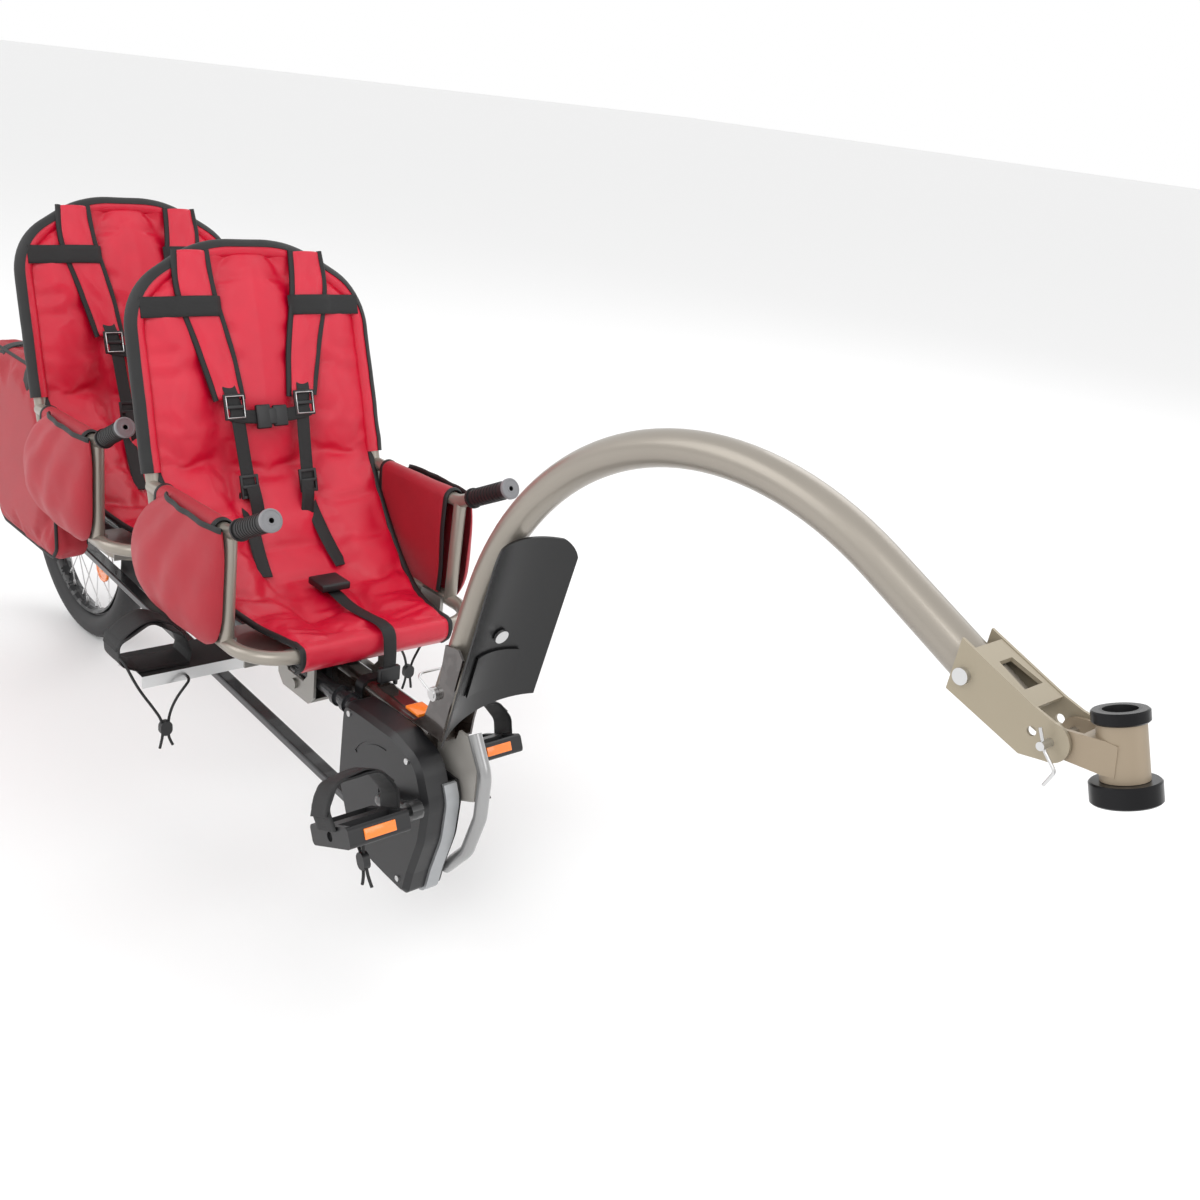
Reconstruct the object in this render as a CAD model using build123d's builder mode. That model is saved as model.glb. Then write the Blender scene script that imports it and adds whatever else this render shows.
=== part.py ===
from build123d import *
import os
from math import atan2, cos, hypot, pi, radians, sin, tan

os.makedirs("parts", exist_ok=True)

# A two-seat recumbent trailer bike. Millimetres, +X forward, +Y to the rider's left, +Z up.
# Places are given as stations: x from the wheel axle, y from the middle, z from the ground.
# The model's origin is the middle of the hitch sleeve, on the towing bike's seatpost.
HITCH_X, HITCH_Z = 1997, 697

# Boom
BOOM_Z = 305.5
BOOM_W, BOOM_H, BOOM_CORNER, BOOM_WALL = 36, 45, 10, 2.5
BOOM_BACK, BOOM_INNER_END = 262, 1110
SLEEVE_W, SLEEVE_H, SLEEVE_CORNER = 40, 49, 12
SLEEVE_BACK, SLEEVE_FRONT = 1018, 1165
COLLAR_BACK, COLLAR_LENGTH, COLLAR_GROWTH = 1000, 17.6, 4

# Tow arm: a straight rise, one wide bend and a straight fall to the hitch
ARM_R, ARM_WALL, ARM_BEND = 19, 2.5, 385
ARM_FOOT = (1166.4, 338)
ARM_CORNER = (1362, 953.4)
ARM_TIP = (1911, 688.2)

# Hitch
PIN_X, PIN_Z, PIN_R = 1952, 688, 3.5
POST_LEAN = 20
POST_R = 12.7
BUSH_R, RECEIVER_R, RECEIVER_H = 15, 18, 43
TOP_COLLAR_R, TOP_COLLAR_H = 21, 10
LOW_COLLAR_R, LOW_COLLAR_H = 26, 17
COUPLER_HALF, COUPLER_SHEET, COUPLER_END_R = 19.3, 3, 16
TIP_BOLT, TIP_BOLT_R, STOP_HOLE = (1870, 708), 4, (1936, 690)

# Drive
WHEEL_Z = 250
CRANK_X, CRANK_Z = 1148, 235
CRANK_LENGTH, CRANK_ANGLE, CRANK_BAR_R = 89, 19, 8.5
CHAIN_PITCH, RING_TEETH, COG_TEETH = 12.7, 36, 16
RING_PITCH_R = CHAIN_PITCH / (2 * sin(pi / RING_TEETH))
COG_PITCH_R = CHAIN_PITCH / (2 * sin(pi / COG_TEETH))
CHAIN_Y, CHAIN_WIDTH, CHAIN_HALF_H = -40, 8, 3.5
SHELL_R, SHELL_BORE_R, SHELL_RIGHT, SHELL_LEFT = 20, 17, -26, 34

# Wheel
TYRE_R, TYRE_SECTION_R = 250, 23.5
RIM_R, RIM_INNER_R, RIM_HALF = 209, 193, 14
SPOKES = 36
HUB_R, HUB_FLANGE_R, HUB_HALF = 15, 26, 29
AXLE_R, DROPOUT_Y = 5, 57

# Seats: two alike on the boom
SEAT_SPACING = 420
SEAT_TUBE_R, SEAT_TUBE_WALL = 9.5, 2
BASE_FRONT, BASE_REAR, BASE_HALF, BASE_Z, BASE_CORNER = 1008, 700, 174.5, 383.5, 62
POST_FOOT_X, POST_TOP_X, POST_TOP_Z = 932.4, 939, 536
ARM_BACK = (711, 176, 528)
GRIP_END = (1041.6, 176.5, 585.6)
BACK_X, BACK_Z, BACK_RECLINE = 707, 543, 17.1

# Cords
CORD_R = 2


def at(x, y, z):
    """The model's point for a station."""
    return Vector(x - HITCH_X, y, z - HITCH_Z)


def side(y=0.0):
    """Sketch plane seen from the right: x forward, y up."""
    return Plane(origin=at(0, y, 0), x_dir=(1, 0, 0), z_dir=(0, -1, 0))


def level(z):
    """Sketch plane seen from above: x forward, y left."""
    return Plane(origin=at(0, 0, z), x_dir=(1, 0, 0), z_dir=(0, 0, 1))


def across(x):
    """Sketch plane seen from the front: x is left, y is up."""
    return Plane(origin=at(x, 0, 0), x_dir=(0, 1, 0), z_dir=(1, 0, 0))


def rod(start, end, radius, mode=Mode.ADD):
    """A round bar between two points."""
    axis = end - start
    with BuildSketch(Plane(origin=start, z_dir=axis)) as section:
        Circle(radius)
    extrude(section.sketch, amount=axis.length, mode=mode)


def pipe(points, radius, bends, close=False, mode=Mode.ADD):
    """A round bar along straight runs joined by tangent arcs."""
    with BuildLine() as path:
        FilletPolyline(*points, radius=bends, close=close)
    line = path.wires()[0]
    with BuildSketch(Plane(origin=line @ 0, z_dir=line % 0)) as section:
        Circle(radius)
    sweep(section.sketch, path=line, mode=mode)


def box(x, y, z, mode=Mode.ADD):
    """A block between two stations on each axis."""
    with BuildSketch(level(z[0])) as section:
        with Locations(((x[0] + x[1]) / 2, (y[0] + y[1]) / 2)):
            Rectangle(x[1] - x[0], abs(y[1] - y[0]))
    extrude(section.sketch, amount=z[1] - z[0], mode=mode)


def corner_radii(points, share=0.45):
    """The largest arcs that a cord's runs allow, one for each inner point."""
    radii = []
    for before, here, after in zip(points, points[1:], points[2:]):
        turn = (here - before).get_angle(after - here)
        run = min((here - before).length, (after - here).length)
        radii.append(share * run / tan(radians(turn) / 2))
    return radii


# The boom: a rounded box tube that telescopes into a larger one
with BuildPart() as boom_rear:
    with BuildSketch(across(BOOM_BACK)):
        with Locations((0, BOOM_Z)):
            RectangleRounded(BOOM_W, BOOM_H, BOOM_CORNER)
            RectangleRounded(BOOM_W - 2 * BOOM_WALL, BOOM_H - 2 * BOOM_WALL, BOOM_CORNER - BOOM_WALL,
                             mode=Mode.SUBTRACT)
    extrude(amount=BOOM_INNER_END - BOOM_BACK)
boom_rear.part.label = "boom_rear"
export_step(boom_rear.part, "parts/boom_rear.step")

SOCKET_HALF, SOCKET_SHEET, SOCKET_BASE_SHEET = 20, 3, 2.5
SOCKET_BASE_Z, SOCKET_BACK, SOCKET_FRONT = 330, 1140, 1204
SOCKET_OUTLINE = [(SOCKET_BACK, SOCKET_BASE_Z), (1163, 346), (1176, 380), (1189, 404), (1196, 458), (1222, 462),
                  (1232, 452),
                  (1207, 352), (SOCKET_FRONT, SOCKET_BASE_Z)]
ARM_PIN = (1184, 388)
ARM_PIN_R = 5

with BuildPart() as boom_front:
    with BuildSketch(across(SLEEVE_BACK)):
        with Locations((0, BOOM_Z)):
            RectangleRounded(SLEEVE_W, SLEEVE_H, SLEEVE_CORNER)
            RectangleRounded(BOOM_W, BOOM_H, BOOM_CORNER, mode=Mode.SUBTRACT)
    extrude(amount=SLEEVE_FRONT - SLEEVE_BACK)
    with BuildSketch(across(SLEEVE_FRONT)):
        with Locations((0, BOOM_Z)):
            RectangleRounded(SLEEVE_W, SLEEVE_H, SLEEVE_CORNER)
    extrude(amount=SOCKET_SHEET)
    # The arm's socket: a base on the boom's top and a cheek on each side of the arm
    with BuildSketch(level(SOCKET_BASE_Z - 0.5)):
        with Locations(((SOCKET_BACK + SOCKET_FRONT) / 2, 0)):
            Rectangle(SOCKET_FRONT - SOCKET_BACK, 2 * (SOCKET_HALF + SOCKET_SHEET))
    extrude(amount=SOCKET_BASE_SHEET)
    for hand in (-1, 1):
        with BuildSketch(side(hand * (SOCKET_HALF + SOCKET_SHEET / 2))):
            with BuildLine():
                Polyline(*SOCKET_OUTLINE, close=True)
            make_face()
            with Locations(ARM_PIN):
                Circle(ARM_PIN_R, mode=Mode.SUBTRACT)
        extrude(amount=SOCKET_SHEET / 2, both=True)
boom_front.part.label = "boom_front"
export_step(boom_front.part, "parts/boom_front.step")

with BuildPart() as boom_collar:
    with BuildSketch(across(COLLAR_BACK)):
        with Locations((0, BOOM_Z)):
            RectangleRounded(BOOM_W + 2 * COLLAR_GROWTH, BOOM_H + 2 * COLLAR_GROWTH, BOOM_CORNER + COLLAR_GROWTH)
            RectangleRounded(BOOM_W, BOOM_H, BOOM_CORNER, mode=Mode.SUBTRACT)
    extrude(amount=COLLAR_LENGTH)
boom_collar.part.label = "boom_collar"
export_step(boom_collar.part, "parts/boom_collar.step")

# Rear fork: a U of tube under the boom's end, flat dropouts at the axle
FORK_R, FORK_WALL, FORK_BEND = 9.5, 2, 42
FORK_TIP_X, FORK_TIP_Z, FORK_CROSS_X, FORK_CROSS_Z = 34, 251.4, 300, 262
CROWN_BACK, CROWN_FRONT, CROWN_HALF = 276, 324, 17.9
FORK_ROUTE = [at(FORK_TIP_X, -DROPOUT_Y, FORK_TIP_Z), at(FORK_CROSS_X, -DROPOUT_Y, FORK_CROSS_Z),
              at(FORK_CROSS_X, DROPOUT_Y, FORK_CROSS_Z), at(FORK_TIP_X, DROPOUT_Y, FORK_TIP_Z)]
DROPOUT_SHEET, DROPOUT_R, DROPOUT_TAIL, AXLE_FIT = 5, 17, 46, 0.1

with BuildPart() as rear_fork:
    pipe(FORK_ROUTE, FORK_R, FORK_BEND)
    # A crown box carries the cross tube under the boom
    box((CROWN_BACK, CROWN_FRONT), (-CROWN_HALF, CROWN_HALF), (FORK_CROSS_Z - 6, BOOM_Z - BOOM_H / 2))
    for hand in (-1, 1):
        with BuildSketch(side(hand * DROPOUT_Y)):
            with Locations((0, WHEEL_Z)):
                Circle(DROPOUT_R)
            with BuildLine():
                Polyline((0, WHEEL_Z + DROPOUT_R), (DROPOUT_TAIL, WHEEL_Z + 8), (DROPOUT_TAIL, WHEEL_Z - 6),
                         (0, WHEEL_Z - DROPOUT_R), close=True)
            make_face()
            with Locations((0, WHEEL_Z)):
                Circle(AXLE_R + AXLE_FIT, mode=Mode.SUBTRACT)
        extrude(amount=DROPOUT_SHEET / 2, both=True)
    pipe(FORK_ROUTE, FORK_R - FORK_WALL, FORK_BEND, mode=Mode.SUBTRACT)
rear_fork.part.label = "rear_fork"
export_step(rear_fork.part, "parts/rear_fork.step")

# Luggage rack over the wheel: two legs a side up to a deck, and two struts down to the boom
RACK_R, RACK_Y, RACK_Z, RACK_FOOT_Z = 5, 66.5, 528, 262
RACK_REAR, RACK_FRONT, RACK_RAIL_Y, RACK_STRUT_FOOT = -120, 200, 25, 284
RACK_LEG_FOOT, RACK_LEG_HEAD, RACK_OVERHANG, RACK_BARS = 3, 60, 8, (-50, 20, 100)
RACK_EAR, RACK_EAR_IN, RACK_EAR_OUT, RACK_EAR_RISE, STRUT_EAR = 13, 61, 72, 12, 10
with BuildPart() as luggage_rack:
    for hand in (-1, 1):
        rod(at(RACK_REAR, hand * RACK_Y, RACK_Z), at(RACK_FRONT + RACK_OVERHANG, hand * RACK_Y, RACK_Z), RACK_R)
        rod(at(RACK_LEG_FOOT, hand * RACK_Y, RACK_FOOT_Z), at(RACK_LEG_HEAD, hand * RACK_Y, RACK_Z), RACK_R)
        rod(at(-RACK_LEG_FOOT, hand * RACK_Y, RACK_FOOT_Z), at(-RACK_LEG_HEAD, hand * RACK_Y, RACK_Z), RACK_R)
        box((-RACK_EAR, RACK_EAR), (hand * RACK_EAR_IN, hand * RACK_EAR_OUT),
            (WHEEL_Z - RACK_EAR_RISE, RACK_FOOT_Z + RACK_EAR_RISE))
        rod(at(RACK_FRONT, hand * RACK_RAIL_Y, RACK_Z), at(RACK_STRUT_FOOT, hand * RACK_RAIL_Y, BOOM_Z), RACK_R)
        box((272, 298), (hand * (BOOM_W / 2 + 0.1), hand * (RACK_RAIL_Y + 4)),
            (BOOM_Z - STRUT_EAR, BOOM_Z + STRUT_EAR))
    for station in (RACK_REAR + RACK_OVERHANG, *RACK_BARS, RACK_FRONT):
        rod(at(station, -RACK_Y, RACK_Z), at(station, RACK_Y, RACK_Z), RACK_R - 0.5)
    with BuildSketch(side()):
        with Locations((0, WHEEL_Z)):
            Circle(AXLE_R + AXLE_FIT)
    extrude(amount=RACK_Y + 10, both=True, mode=Mode.SUBTRACT)
luggage_rack.part.label = "luggage_rack"
export_step(luggage_rack.part, "parts/luggage_rack.step")

# Panniers: soft rounded bags on both sides of the rack
BAG_IN, BAG_OUT, BAG_CORNER, BAG_EDGE = 86, 148, 22, 14
BAG_OUTLINE = [(-44, 250), (-52, 566), (212, 566), (238, 520), (240, 262), (222, 242), (-20, 236)]
with BuildPart() as panniers:
    for hand in (-1, 1):
        with BuildSketch(side(hand * BAG_IN)):
            with BuildLine():
                FilletPolyline(*BAG_OUTLINE, radius=BAG_CORNER, close=True)
            make_face()
        extrude(amount=-hand * (BAG_OUT - BAG_IN))
    outer = panniers.faces().sort_by(Axis.Y)
    fillet(outer[0].edges() + outer[-1].edges(), radius=BAG_EDGE)
panniers.part.label = "panniers"
export_step(panniers.part, "parts/panniers.step")

# Wheel: tyre, box rim, crossed spokes with nipples, flanged hub
TYRE_WALL, BEAD_HALF = 3.5, 9
with BuildPart() as tyre:
    with BuildSketch(across(0)):
        with Locations((0, WHEEL_Z + TYRE_R - TYRE_SECTION_R)):
            Circle(TYRE_SECTION_R)
            Circle(TYRE_SECTION_R - TYRE_WALL, mode=Mode.SUBTRACT)
        with Locations((0, WHEEL_Z + RIM_R - 12)):
            Rectangle(2 * BEAD_HALF, 30, mode=Mode.SUBTRACT)
    revolve(axis=Axis(at(0, 0, WHEEL_Z), (0, 1, 0)))
tyre.part.label = "tyre"
export_step(tyre.part, "parts/tyre.step")

RIM_HOOK_OUT, RIM_HOOK_IN, RIM_SHOULDER, RIM_WAIST, RIM_BED = 8.8, 6.8, 201, 196, 4
with BuildPart() as rim:
    with BuildSketch(across(0)):
        with BuildLine():
            Polyline((-RIM_HOOK_OUT, WHEEL_Z + RIM_R), (-RIM_HOOK_OUT, WHEEL_Z + RIM_SHOULDER + 2),
                     (-RIM_HALF, WHEEL_Z + RIM_SHOULDER), (-RIM_HALF + 2, WHEEL_Z + RIM_WAIST),
                     (-RIM_BED, WHEEL_Z + RIM_INNER_R), (RIM_BED, WHEEL_Z + RIM_INNER_R),
                     (RIM_HALF - 2, WHEEL_Z + RIM_WAIST), (RIM_HALF, WHEEL_Z + RIM_SHOULDER),
                     (RIM_HOOK_OUT, WHEEL_Z + RIM_SHOULDER + 2), (RIM_HOOK_OUT, WHEEL_Z + RIM_R),
                     (RIM_HOOK_IN, WHEEL_Z + RIM_R), (RIM_HOOK_IN, WHEEL_Z + RIM_SHOULDER + 1),
                     (-RIM_HOOK_IN, WHEEL_Z + RIM_SHOULDER + 1), (-RIM_HOOK_IN, WHEEL_Z + RIM_R), close=True)
        make_face()
        with Locations((0, WHEEL_Z + RIM_WAIST + 2)):
            Rectangle(4 * RIM_BED, 3.4, mode=Mode.SUBTRACT)
    revolve(axis=Axis(at(0, 0, WHEEL_Z), (0, 1, 0)))
rim.part.label = "rim"
export_step(rim.part, "parts/rim.step")

SPOKE_R, NIPPLE_R, NIPPLE_LENGTH, FLANGE_SHEET, BEARING_R = 1, 2.2, 12, 4, 11
SPOKE_HOLE_R, SPOKE_CROSS, SPOKE_HEAD, SPOKE_SET = HUB_FLANGE_R - 3.5, 50, 8, 0.6
with BuildPart() as spokes:
    for number in range(SPOKES):
        flange = 1 if number % 2 else -1
        lean = 1 if number % 4 < 2 else -1
        turn = 2 * pi * number / SPOKES
        foot_turn = turn + lean * radians(SPOKE_CROSS)
        foot = at(SPOKE_HOLE_R * sin(foot_turn), flange * (HUB_HALF + FLANGE_SHEET / 2 + 1.2),
                  WHEEL_Z + SPOKE_HOLE_R * cos(foot_turn))
        head = at(RIM_INNER_R * sin(turn), flange * 1.5, WHEEL_Z + RIM_INNER_R * cos(turn))
        reach = (head - foot).normalized()
        rod(foot + reach * SPOKE_HEAD, head - reach * SPOKE_SET, SPOKE_R)
        rod(head - reach * NIPPLE_LENGTH, head - reach * SPOKE_SET, NIPPLE_R)
spokes.part.label = "spokes"
export_step(spokes.part, "parts/spokes.step")

HUB_RIGHT, HUB_LEFT, HUB_CUP_R, HUB_NECK_R = -44, 48, 14, 16
with BuildPart() as hub:
    with BuildSketch(across(0)):
        with BuildLine():
            Polyline((HUB_RIGHT, WHEEL_Z + BEARING_R), (HUB_RIGHT, WHEEL_Z + HUB_CUP_R),
                     (-HUB_HALF - 2, WHEEL_Z + HUB_NECK_R), (-HUB_HALF - 2,
                                                             WHEEL_Z + HUB_FLANGE_R), (-HUB_HALF + 2,
                                                                                       WHEEL_Z + HUB_FLANGE_R),
                     (-HUB_HALF + 8, WHEEL_Z + HUB_R), (HUB_HALF - 8, WHEEL_Z + HUB_R),
                     (HUB_HALF - 2, WHEEL_Z + HUB_FLANGE_R), (HUB_HALF + 2, WHEEL_Z + HUB_FLANGE_R),
                     (HUB_HALF + 2, WHEEL_Z + HUB_NECK_R), (HUB_LEFT, WHEEL_Z + HUB_CUP_R),
                     (HUB_LEFT, WHEEL_Z + BEARING_R), close=True)
        make_face()
    revolve(axis=Axis(at(0, 0, WHEEL_Z), (0, 1, 0)))
hub.part.label = "hub"
export_step(hub.part, "parts/hub.step")

RUNNING_GAP, BEARING_LENGTH = 0.06, 10
with BuildPart() as hub_bearings:
    for y_in in (HUB_RIGHT, HUB_LEFT - BEARING_LENGTH):
        with BuildSketch(side(y_in)):
            with Locations((0, WHEEL_Z)):
                Circle(BEARING_R)
                Circle(AXLE_R + RUNNING_GAP, mode=Mode.SUBTRACT)
        extrude(amount=-BEARING_LENGTH)
hub_bearings.part.label = "hub_bearings"
export_step(hub_bearings.part, "parts/hub_bearings.step")

AXLE_HALF, NUT_AF, NUT_H, SHOULDER_Y, SHOULDER_R = 82, 15, 8, 50.5, 8
with BuildPart() as wheel_axle:
    with BuildSketch(side()):
        with Locations((0, WHEEL_Z)):
            Circle(AXLE_R)
    extrude(amount=AXLE_HALF, both=True)
    # Shoulders that the dropouts clamp against
    for hand in (-1, 1):
        with BuildSketch(side(hand * SHOULDER_Y)):
            with Locations((0, WHEEL_Z)):
                Circle(SHOULDER_R)
        extrude(amount=-hand * (DROPOUT_Y - DROPOUT_SHEET / 2 - SHOULDER_Y))
wheel_axle.part.label = "wheel_axle"
export_step(wheel_axle.part, "parts/wheel_axle.step")


SPROCKET_SHEET, ROLLER_GAP_R, ROOT_DROP = 3, 4.1, 0.6
COG_BODY_R, COG_BORE_R, RING_BOSS = 21, HUB_CUP_R + 2, 6
WINDOW_PITCH_R, WINDOWS, WINDOW_R = 42, 6, 13


def toothed(centre, pitch_r, teeth, thickness, y):
    """A sprocket blank with rounded tooth gaps, about an axis across the trailer."""
    with BuildSketch(side(y)) as section:
        with Locations(centre):
            Circle(pitch_r - CHAIN_HALF_H - ROOT_DROP)
            with PolarLocations(pitch_r, teeth):
                Circle(ROLLER_GAP_R, mode=Mode.SUBTRACT)
    extrude(section.sketch, amount=thickness / 2, both=True)


with BuildPart() as freewheel_cog:
    toothed((0, WHEEL_Z), COG_PITCH_R, COG_TEETH, SPROCKET_SHEET, CHAIN_Y)
    with BuildSketch(side(CHAIN_Y)):
        with Locations((0, WHEEL_Z)):
            Circle(COG_BODY_R)
    extrude(amount=4, both=True)
    with BuildSketch(side(CHAIN_Y)):
        with Locations((0, WHEEL_Z)):
            Circle(COG_BORE_R + RUNNING_GAP)
    extrude(amount=10, both=True, mode=Mode.SUBTRACT)
freewheel_cog.part.label = "freewheel_cog"
export_step(freewheel_cog.part, "parts/freewheel_cog.step")

# One-piece crank with its pedal spindles; the right arm points forward and up
PEDAL_Y = 152
ARM_Y, ARM_TOE, BOSS_R, BOSS_HALF, SPINDLE_R, SPINDLE_REACH, CRANK_BEND = 78, 4, 12, 8, 6, 38, 14
REACH_X = CRANK_LENGTH * cos(radians(CRANK_ANGLE))
REACH_Z = CRANK_LENGTH * sin(radians(CRANK_ANGLE))
with BuildPart() as crank:
    pipe([at(CRANK_X + REACH_X, -ARM_Y, CRANK_Z + REACH_Z), at(CRANK_X, -ARM_Y + ARM_TOE, CRANK_Z),
          at(CRANK_X, ARM_Y - ARM_TOE, CRANK_Z), at(CRANK_X - REACH_X, ARM_Y, CRANK_Z - REACH_Z)], CRANK_BAR_R,
         CRANK_BEND)
    for hand in (-1, 1):
        centre = (CRANK_X - hand * REACH_X, CRANK_Z - hand * REACH_Z)
        with BuildSketch(side(hand * ARM_Y)):
            with Locations(centre):
                Circle(BOSS_R)
        extrude(amount=BOSS_HALF, both=True)
        with BuildSketch(side(hand * ARM_Y)):
            with Locations(centre):
                Circle(SPINDLE_R)
        extrude(amount=-hand * (PEDAL_Y + SPINDLE_REACH - ARM_Y))
crank.part.label = "crank"
export_step(crank.part, "parts/crank.step")

with BuildPart() as chainring:
    toothed((CRANK_X, CRANK_Z), RING_PITCH_R, RING_TEETH, SPROCKET_SHEET, CHAIN_Y)
    with BuildSketch(side(CHAIN_Y - SPROCKET_SHEET / 2)):
        with Locations((CRANK_X, CRANK_Z)):
            with PolarLocations(WINDOW_PITCH_R, WINDOWS):
                Circle(WINDOW_R)
    extrude(amount=-SPROCKET_SHEET, mode=Mode.SUBTRACT)
    with BuildSketch(side(CHAIN_Y)):
        with Locations((CRANK_X, CRANK_Z)):
            Circle(CRANK_BAR_R + RING_BOSS)
    extrude(amount=5, both=True)
    with BuildSketch(side(CHAIN_Y)):
        with Locations((CRANK_X, CRANK_Z)):
            Circle(CRANK_BAR_R)
    extrude(amount=9, both=True, mode=Mode.SUBTRACT)
chainring.part.label = "chainring"
export_step(chainring.part, "parts/chainring.step")

CHAIN_SLOPE = atan2(CRANK_Z - WHEEL_Z, CRANK_X)
CHAIN_SPLAY = atan2(RING_PITCH_R - COG_PITCH_R, hypot(CRANK_X, CRANK_Z - WHEEL_Z))


def chain_point(run, station, shift=0.0):
    """A point of the chain's upper (1) or lower (-1) run, moved outwards by shift."""
    lean = CHAIN_SLOPE + run * CHAIN_SPLAY
    start_x = -run * COG_PITCH_R * sin(lean)
    start_z = WHEEL_Z + run * COG_PITCH_R * cos(lean)
    return (station, start_z + (station - start_x) * tan(lean) + run * shift / cos(lean))


def chain_loop(shift):
    """The loop round both sprockets, moved outwards by shift."""
    rings = ((0, WHEEL_Z, COG_PITCH_R), (CRANK_X, CRANK_Z, RING_PITCH_R))
    return [(x - run * (r + shift) * sin(CHAIN_SLOPE + run * CHAIN_SPLAY),
             z + run * (r + shift) * cos(CHAIN_SLOPE + run * CHAIN_SPLAY)) for run in (1, -1) for x, z, r in rings]


with BuildPart() as drive_chain:
    for shift, thickness, mode in ((CHAIN_HALF_H, CHAIN_WIDTH, Mode.ADD),
                                   (-CHAIN_HALF_H, CHAIN_WIDTH + 2, Mode.SUBTRACT)):
        top_rear, top_front, low_rear, low_front = chain_loop(shift)
        with BuildSketch(side(CHAIN_Y)):
            with BuildLine():
                Line(top_rear, top_front)
                ThreePointArc(top_front, (CRANK_X + RING_PITCH_R + shift, CRANK_Z), low_front)
                Line(low_front, low_rear)
                ThreePointArc(low_rear, (-COG_PITCH_R - shift, WHEEL_Z), top_rear)
            make_face()
        extrude(amount=thickness / 2, both=True, mode=mode)
drive_chain.part.label = "drive_chain"
export_step(drive_chain.part, "parts/drive_chain.step")

# Chain case: two dished halves meeting in a plane beside the boom
SEAM_Y, CASE_RIGHT_Y, CASE_LEFT_Y, CASE_WALL = -20.4, -60, -5, 2.5
CASE_OUTLINE = [(1028, 290), (1030, 320), (1066, 323), (1150, 325), (1206, 312), (1231, 260), (1226, 205),
                (1208, 150), (1199, 112), (1150, 114), (1093, 119), (1051, 148), (1025, 205)]
CASE_RADII = [10, 20, 60, 50, 46, 40, 90, 12, 12, 60, 30, 40, 60]


def case_outline(plane, inset):
    """The case's outline, drawn in by inset, as a sketch."""
    with BuildSketch(plane) as outline:
        with BuildLine():
            FilletPolyline(*CASE_OUTLINE, radius=CASE_RADII, close=True)
        make_face()
        if inset:
            offset(amount=-inset)
    return outline.sketch


UPPER_TUBE_R, UPPER_BORE_R = 11.5, 8.5
LOWER_TUBE_W, LOWER_TUBE_H, LOWER_WALL = 22, 13, 2
UPPER_REAR, UPPER_FRONT, LOWER_REAR, LOWER_FRONT = 60, 1040, 60, 1062
CRANK_HOLE_R, TUBE_HOLE_GAP = 21, 0.1
GROOVE, GROOVE_WIDTH, GROOVE_DEPTH = ((1070, 262), (1098, 288), (1140, 298)), 5, 1
CASE_CHAMFER, HOLLOW_CHAMFER, BOOM_CLEARANCE, SHELL_GAP = 7, 5.5, 0.3, 0.4


def chain_way(run, station):
    """A point in the middle of the chain's upper (1) or lower (-1) run."""
    x, z = chain_point(run, station)
    return at(x, CHAIN_Y, z)


def upper_round(radius, start, end, mode=Mode.ADD):
    """A round bar along the upper chain run."""
    rod(chain_way(1, start), chain_way(1, end), radius, mode=mode)


def lower_flat(width, height, start, end, mode=Mode.ADD):
    """A flat bar along the lower chain run."""
    foot, head = chain_way(-1, start), chain_way(-1, end)
    with BuildSketch(Plane(origin=foot, x_dir=(0, 1, 0), z_dir=head - foot)) as section:
        RectangleRounded(width, height, min(width, height) / 4)
    extrude(section.sketch, amount=(head - foot).length, mode=mode)


with BuildPart() as case_hollow:
    extrude(case_outline(side(SEAM_Y), CASE_WALL), amount=SEAM_Y - CASE_RIGHT_Y - CASE_WALL)
    chamfer(case_hollow.faces().sort_by(Axis.Y)[0].edges(), length=HOLLOW_CHAMFER)

with BuildPart() as chain_case_right:
    extrude(case_outline(side(SEAM_Y), 0), amount=SEAM_Y - CASE_RIGHT_Y)
    chamfer(chain_case_right.faces().sort_by(Axis.Y)[0].edges(), length=CASE_CHAMFER)
    add(case_hollow.part, mode=Mode.SUBTRACT)
    with BuildSketch(side(CASE_RIGHT_Y + 8)):
        with Locations((CRANK_X, CRANK_Z)):
            Circle(CRANK_HOLE_R)
    extrude(amount=16, mode=Mode.SUBTRACT)
    upper_round(UPPER_TUBE_R + TUBE_HOLE_GAP, 990, UPPER_FRONT + 4, mode=Mode.SUBTRACT)
    lower_flat(LOWER_TUBE_W + 2 * TUBE_HOLE_GAP, LOWER_TUBE_H + 2 * TUBE_HOLE_GAP, 1000, LOWER_FRONT + 6,
               mode=Mode.SUBTRACT)
    # A curved groove in the outer face
    with BuildSketch(side(CASE_RIGHT_Y)):
        with BuildLine():
            ThreePointArc(*GROOVE)
        trace(line_width=GROOVE_WIDTH)
    extrude(amount=-GROOVE_DEPTH, mode=Mode.SUBTRACT)
chain_case_right.part.label = "chain_case_right"
export_step(chain_case_right.part, "parts/chain_case_right.step")

with BuildPart() as chain_case_left:
    extrude(case_outline(side(CASE_LEFT_Y), 0), amount=CASE_LEFT_Y - SEAM_Y - 0.1)
    extrude(case_outline(side(CASE_LEFT_Y - CASE_WALL), CASE_WALL), amount=20, mode=Mode.SUBTRACT)
    # Below the boom only, and open round the crank's shell
    box((1000, 1260), (-22, 0), (BOOM_Z - SLEEVE_H / 2 - BOOM_CLEARANCE, 340), mode=Mode.SUBTRACT)
    with BuildSketch(side()):
        with Locations((CRANK_X, CRANK_Z)):
            Circle(SHELL_R + SHELL_GAP)
    extrude(amount=30, mode=Mode.SUBTRACT)
chain_case_left.part.label = "chain_case_left"
export_step(chain_case_left.part, "parts/chain_case_left.step")

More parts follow.
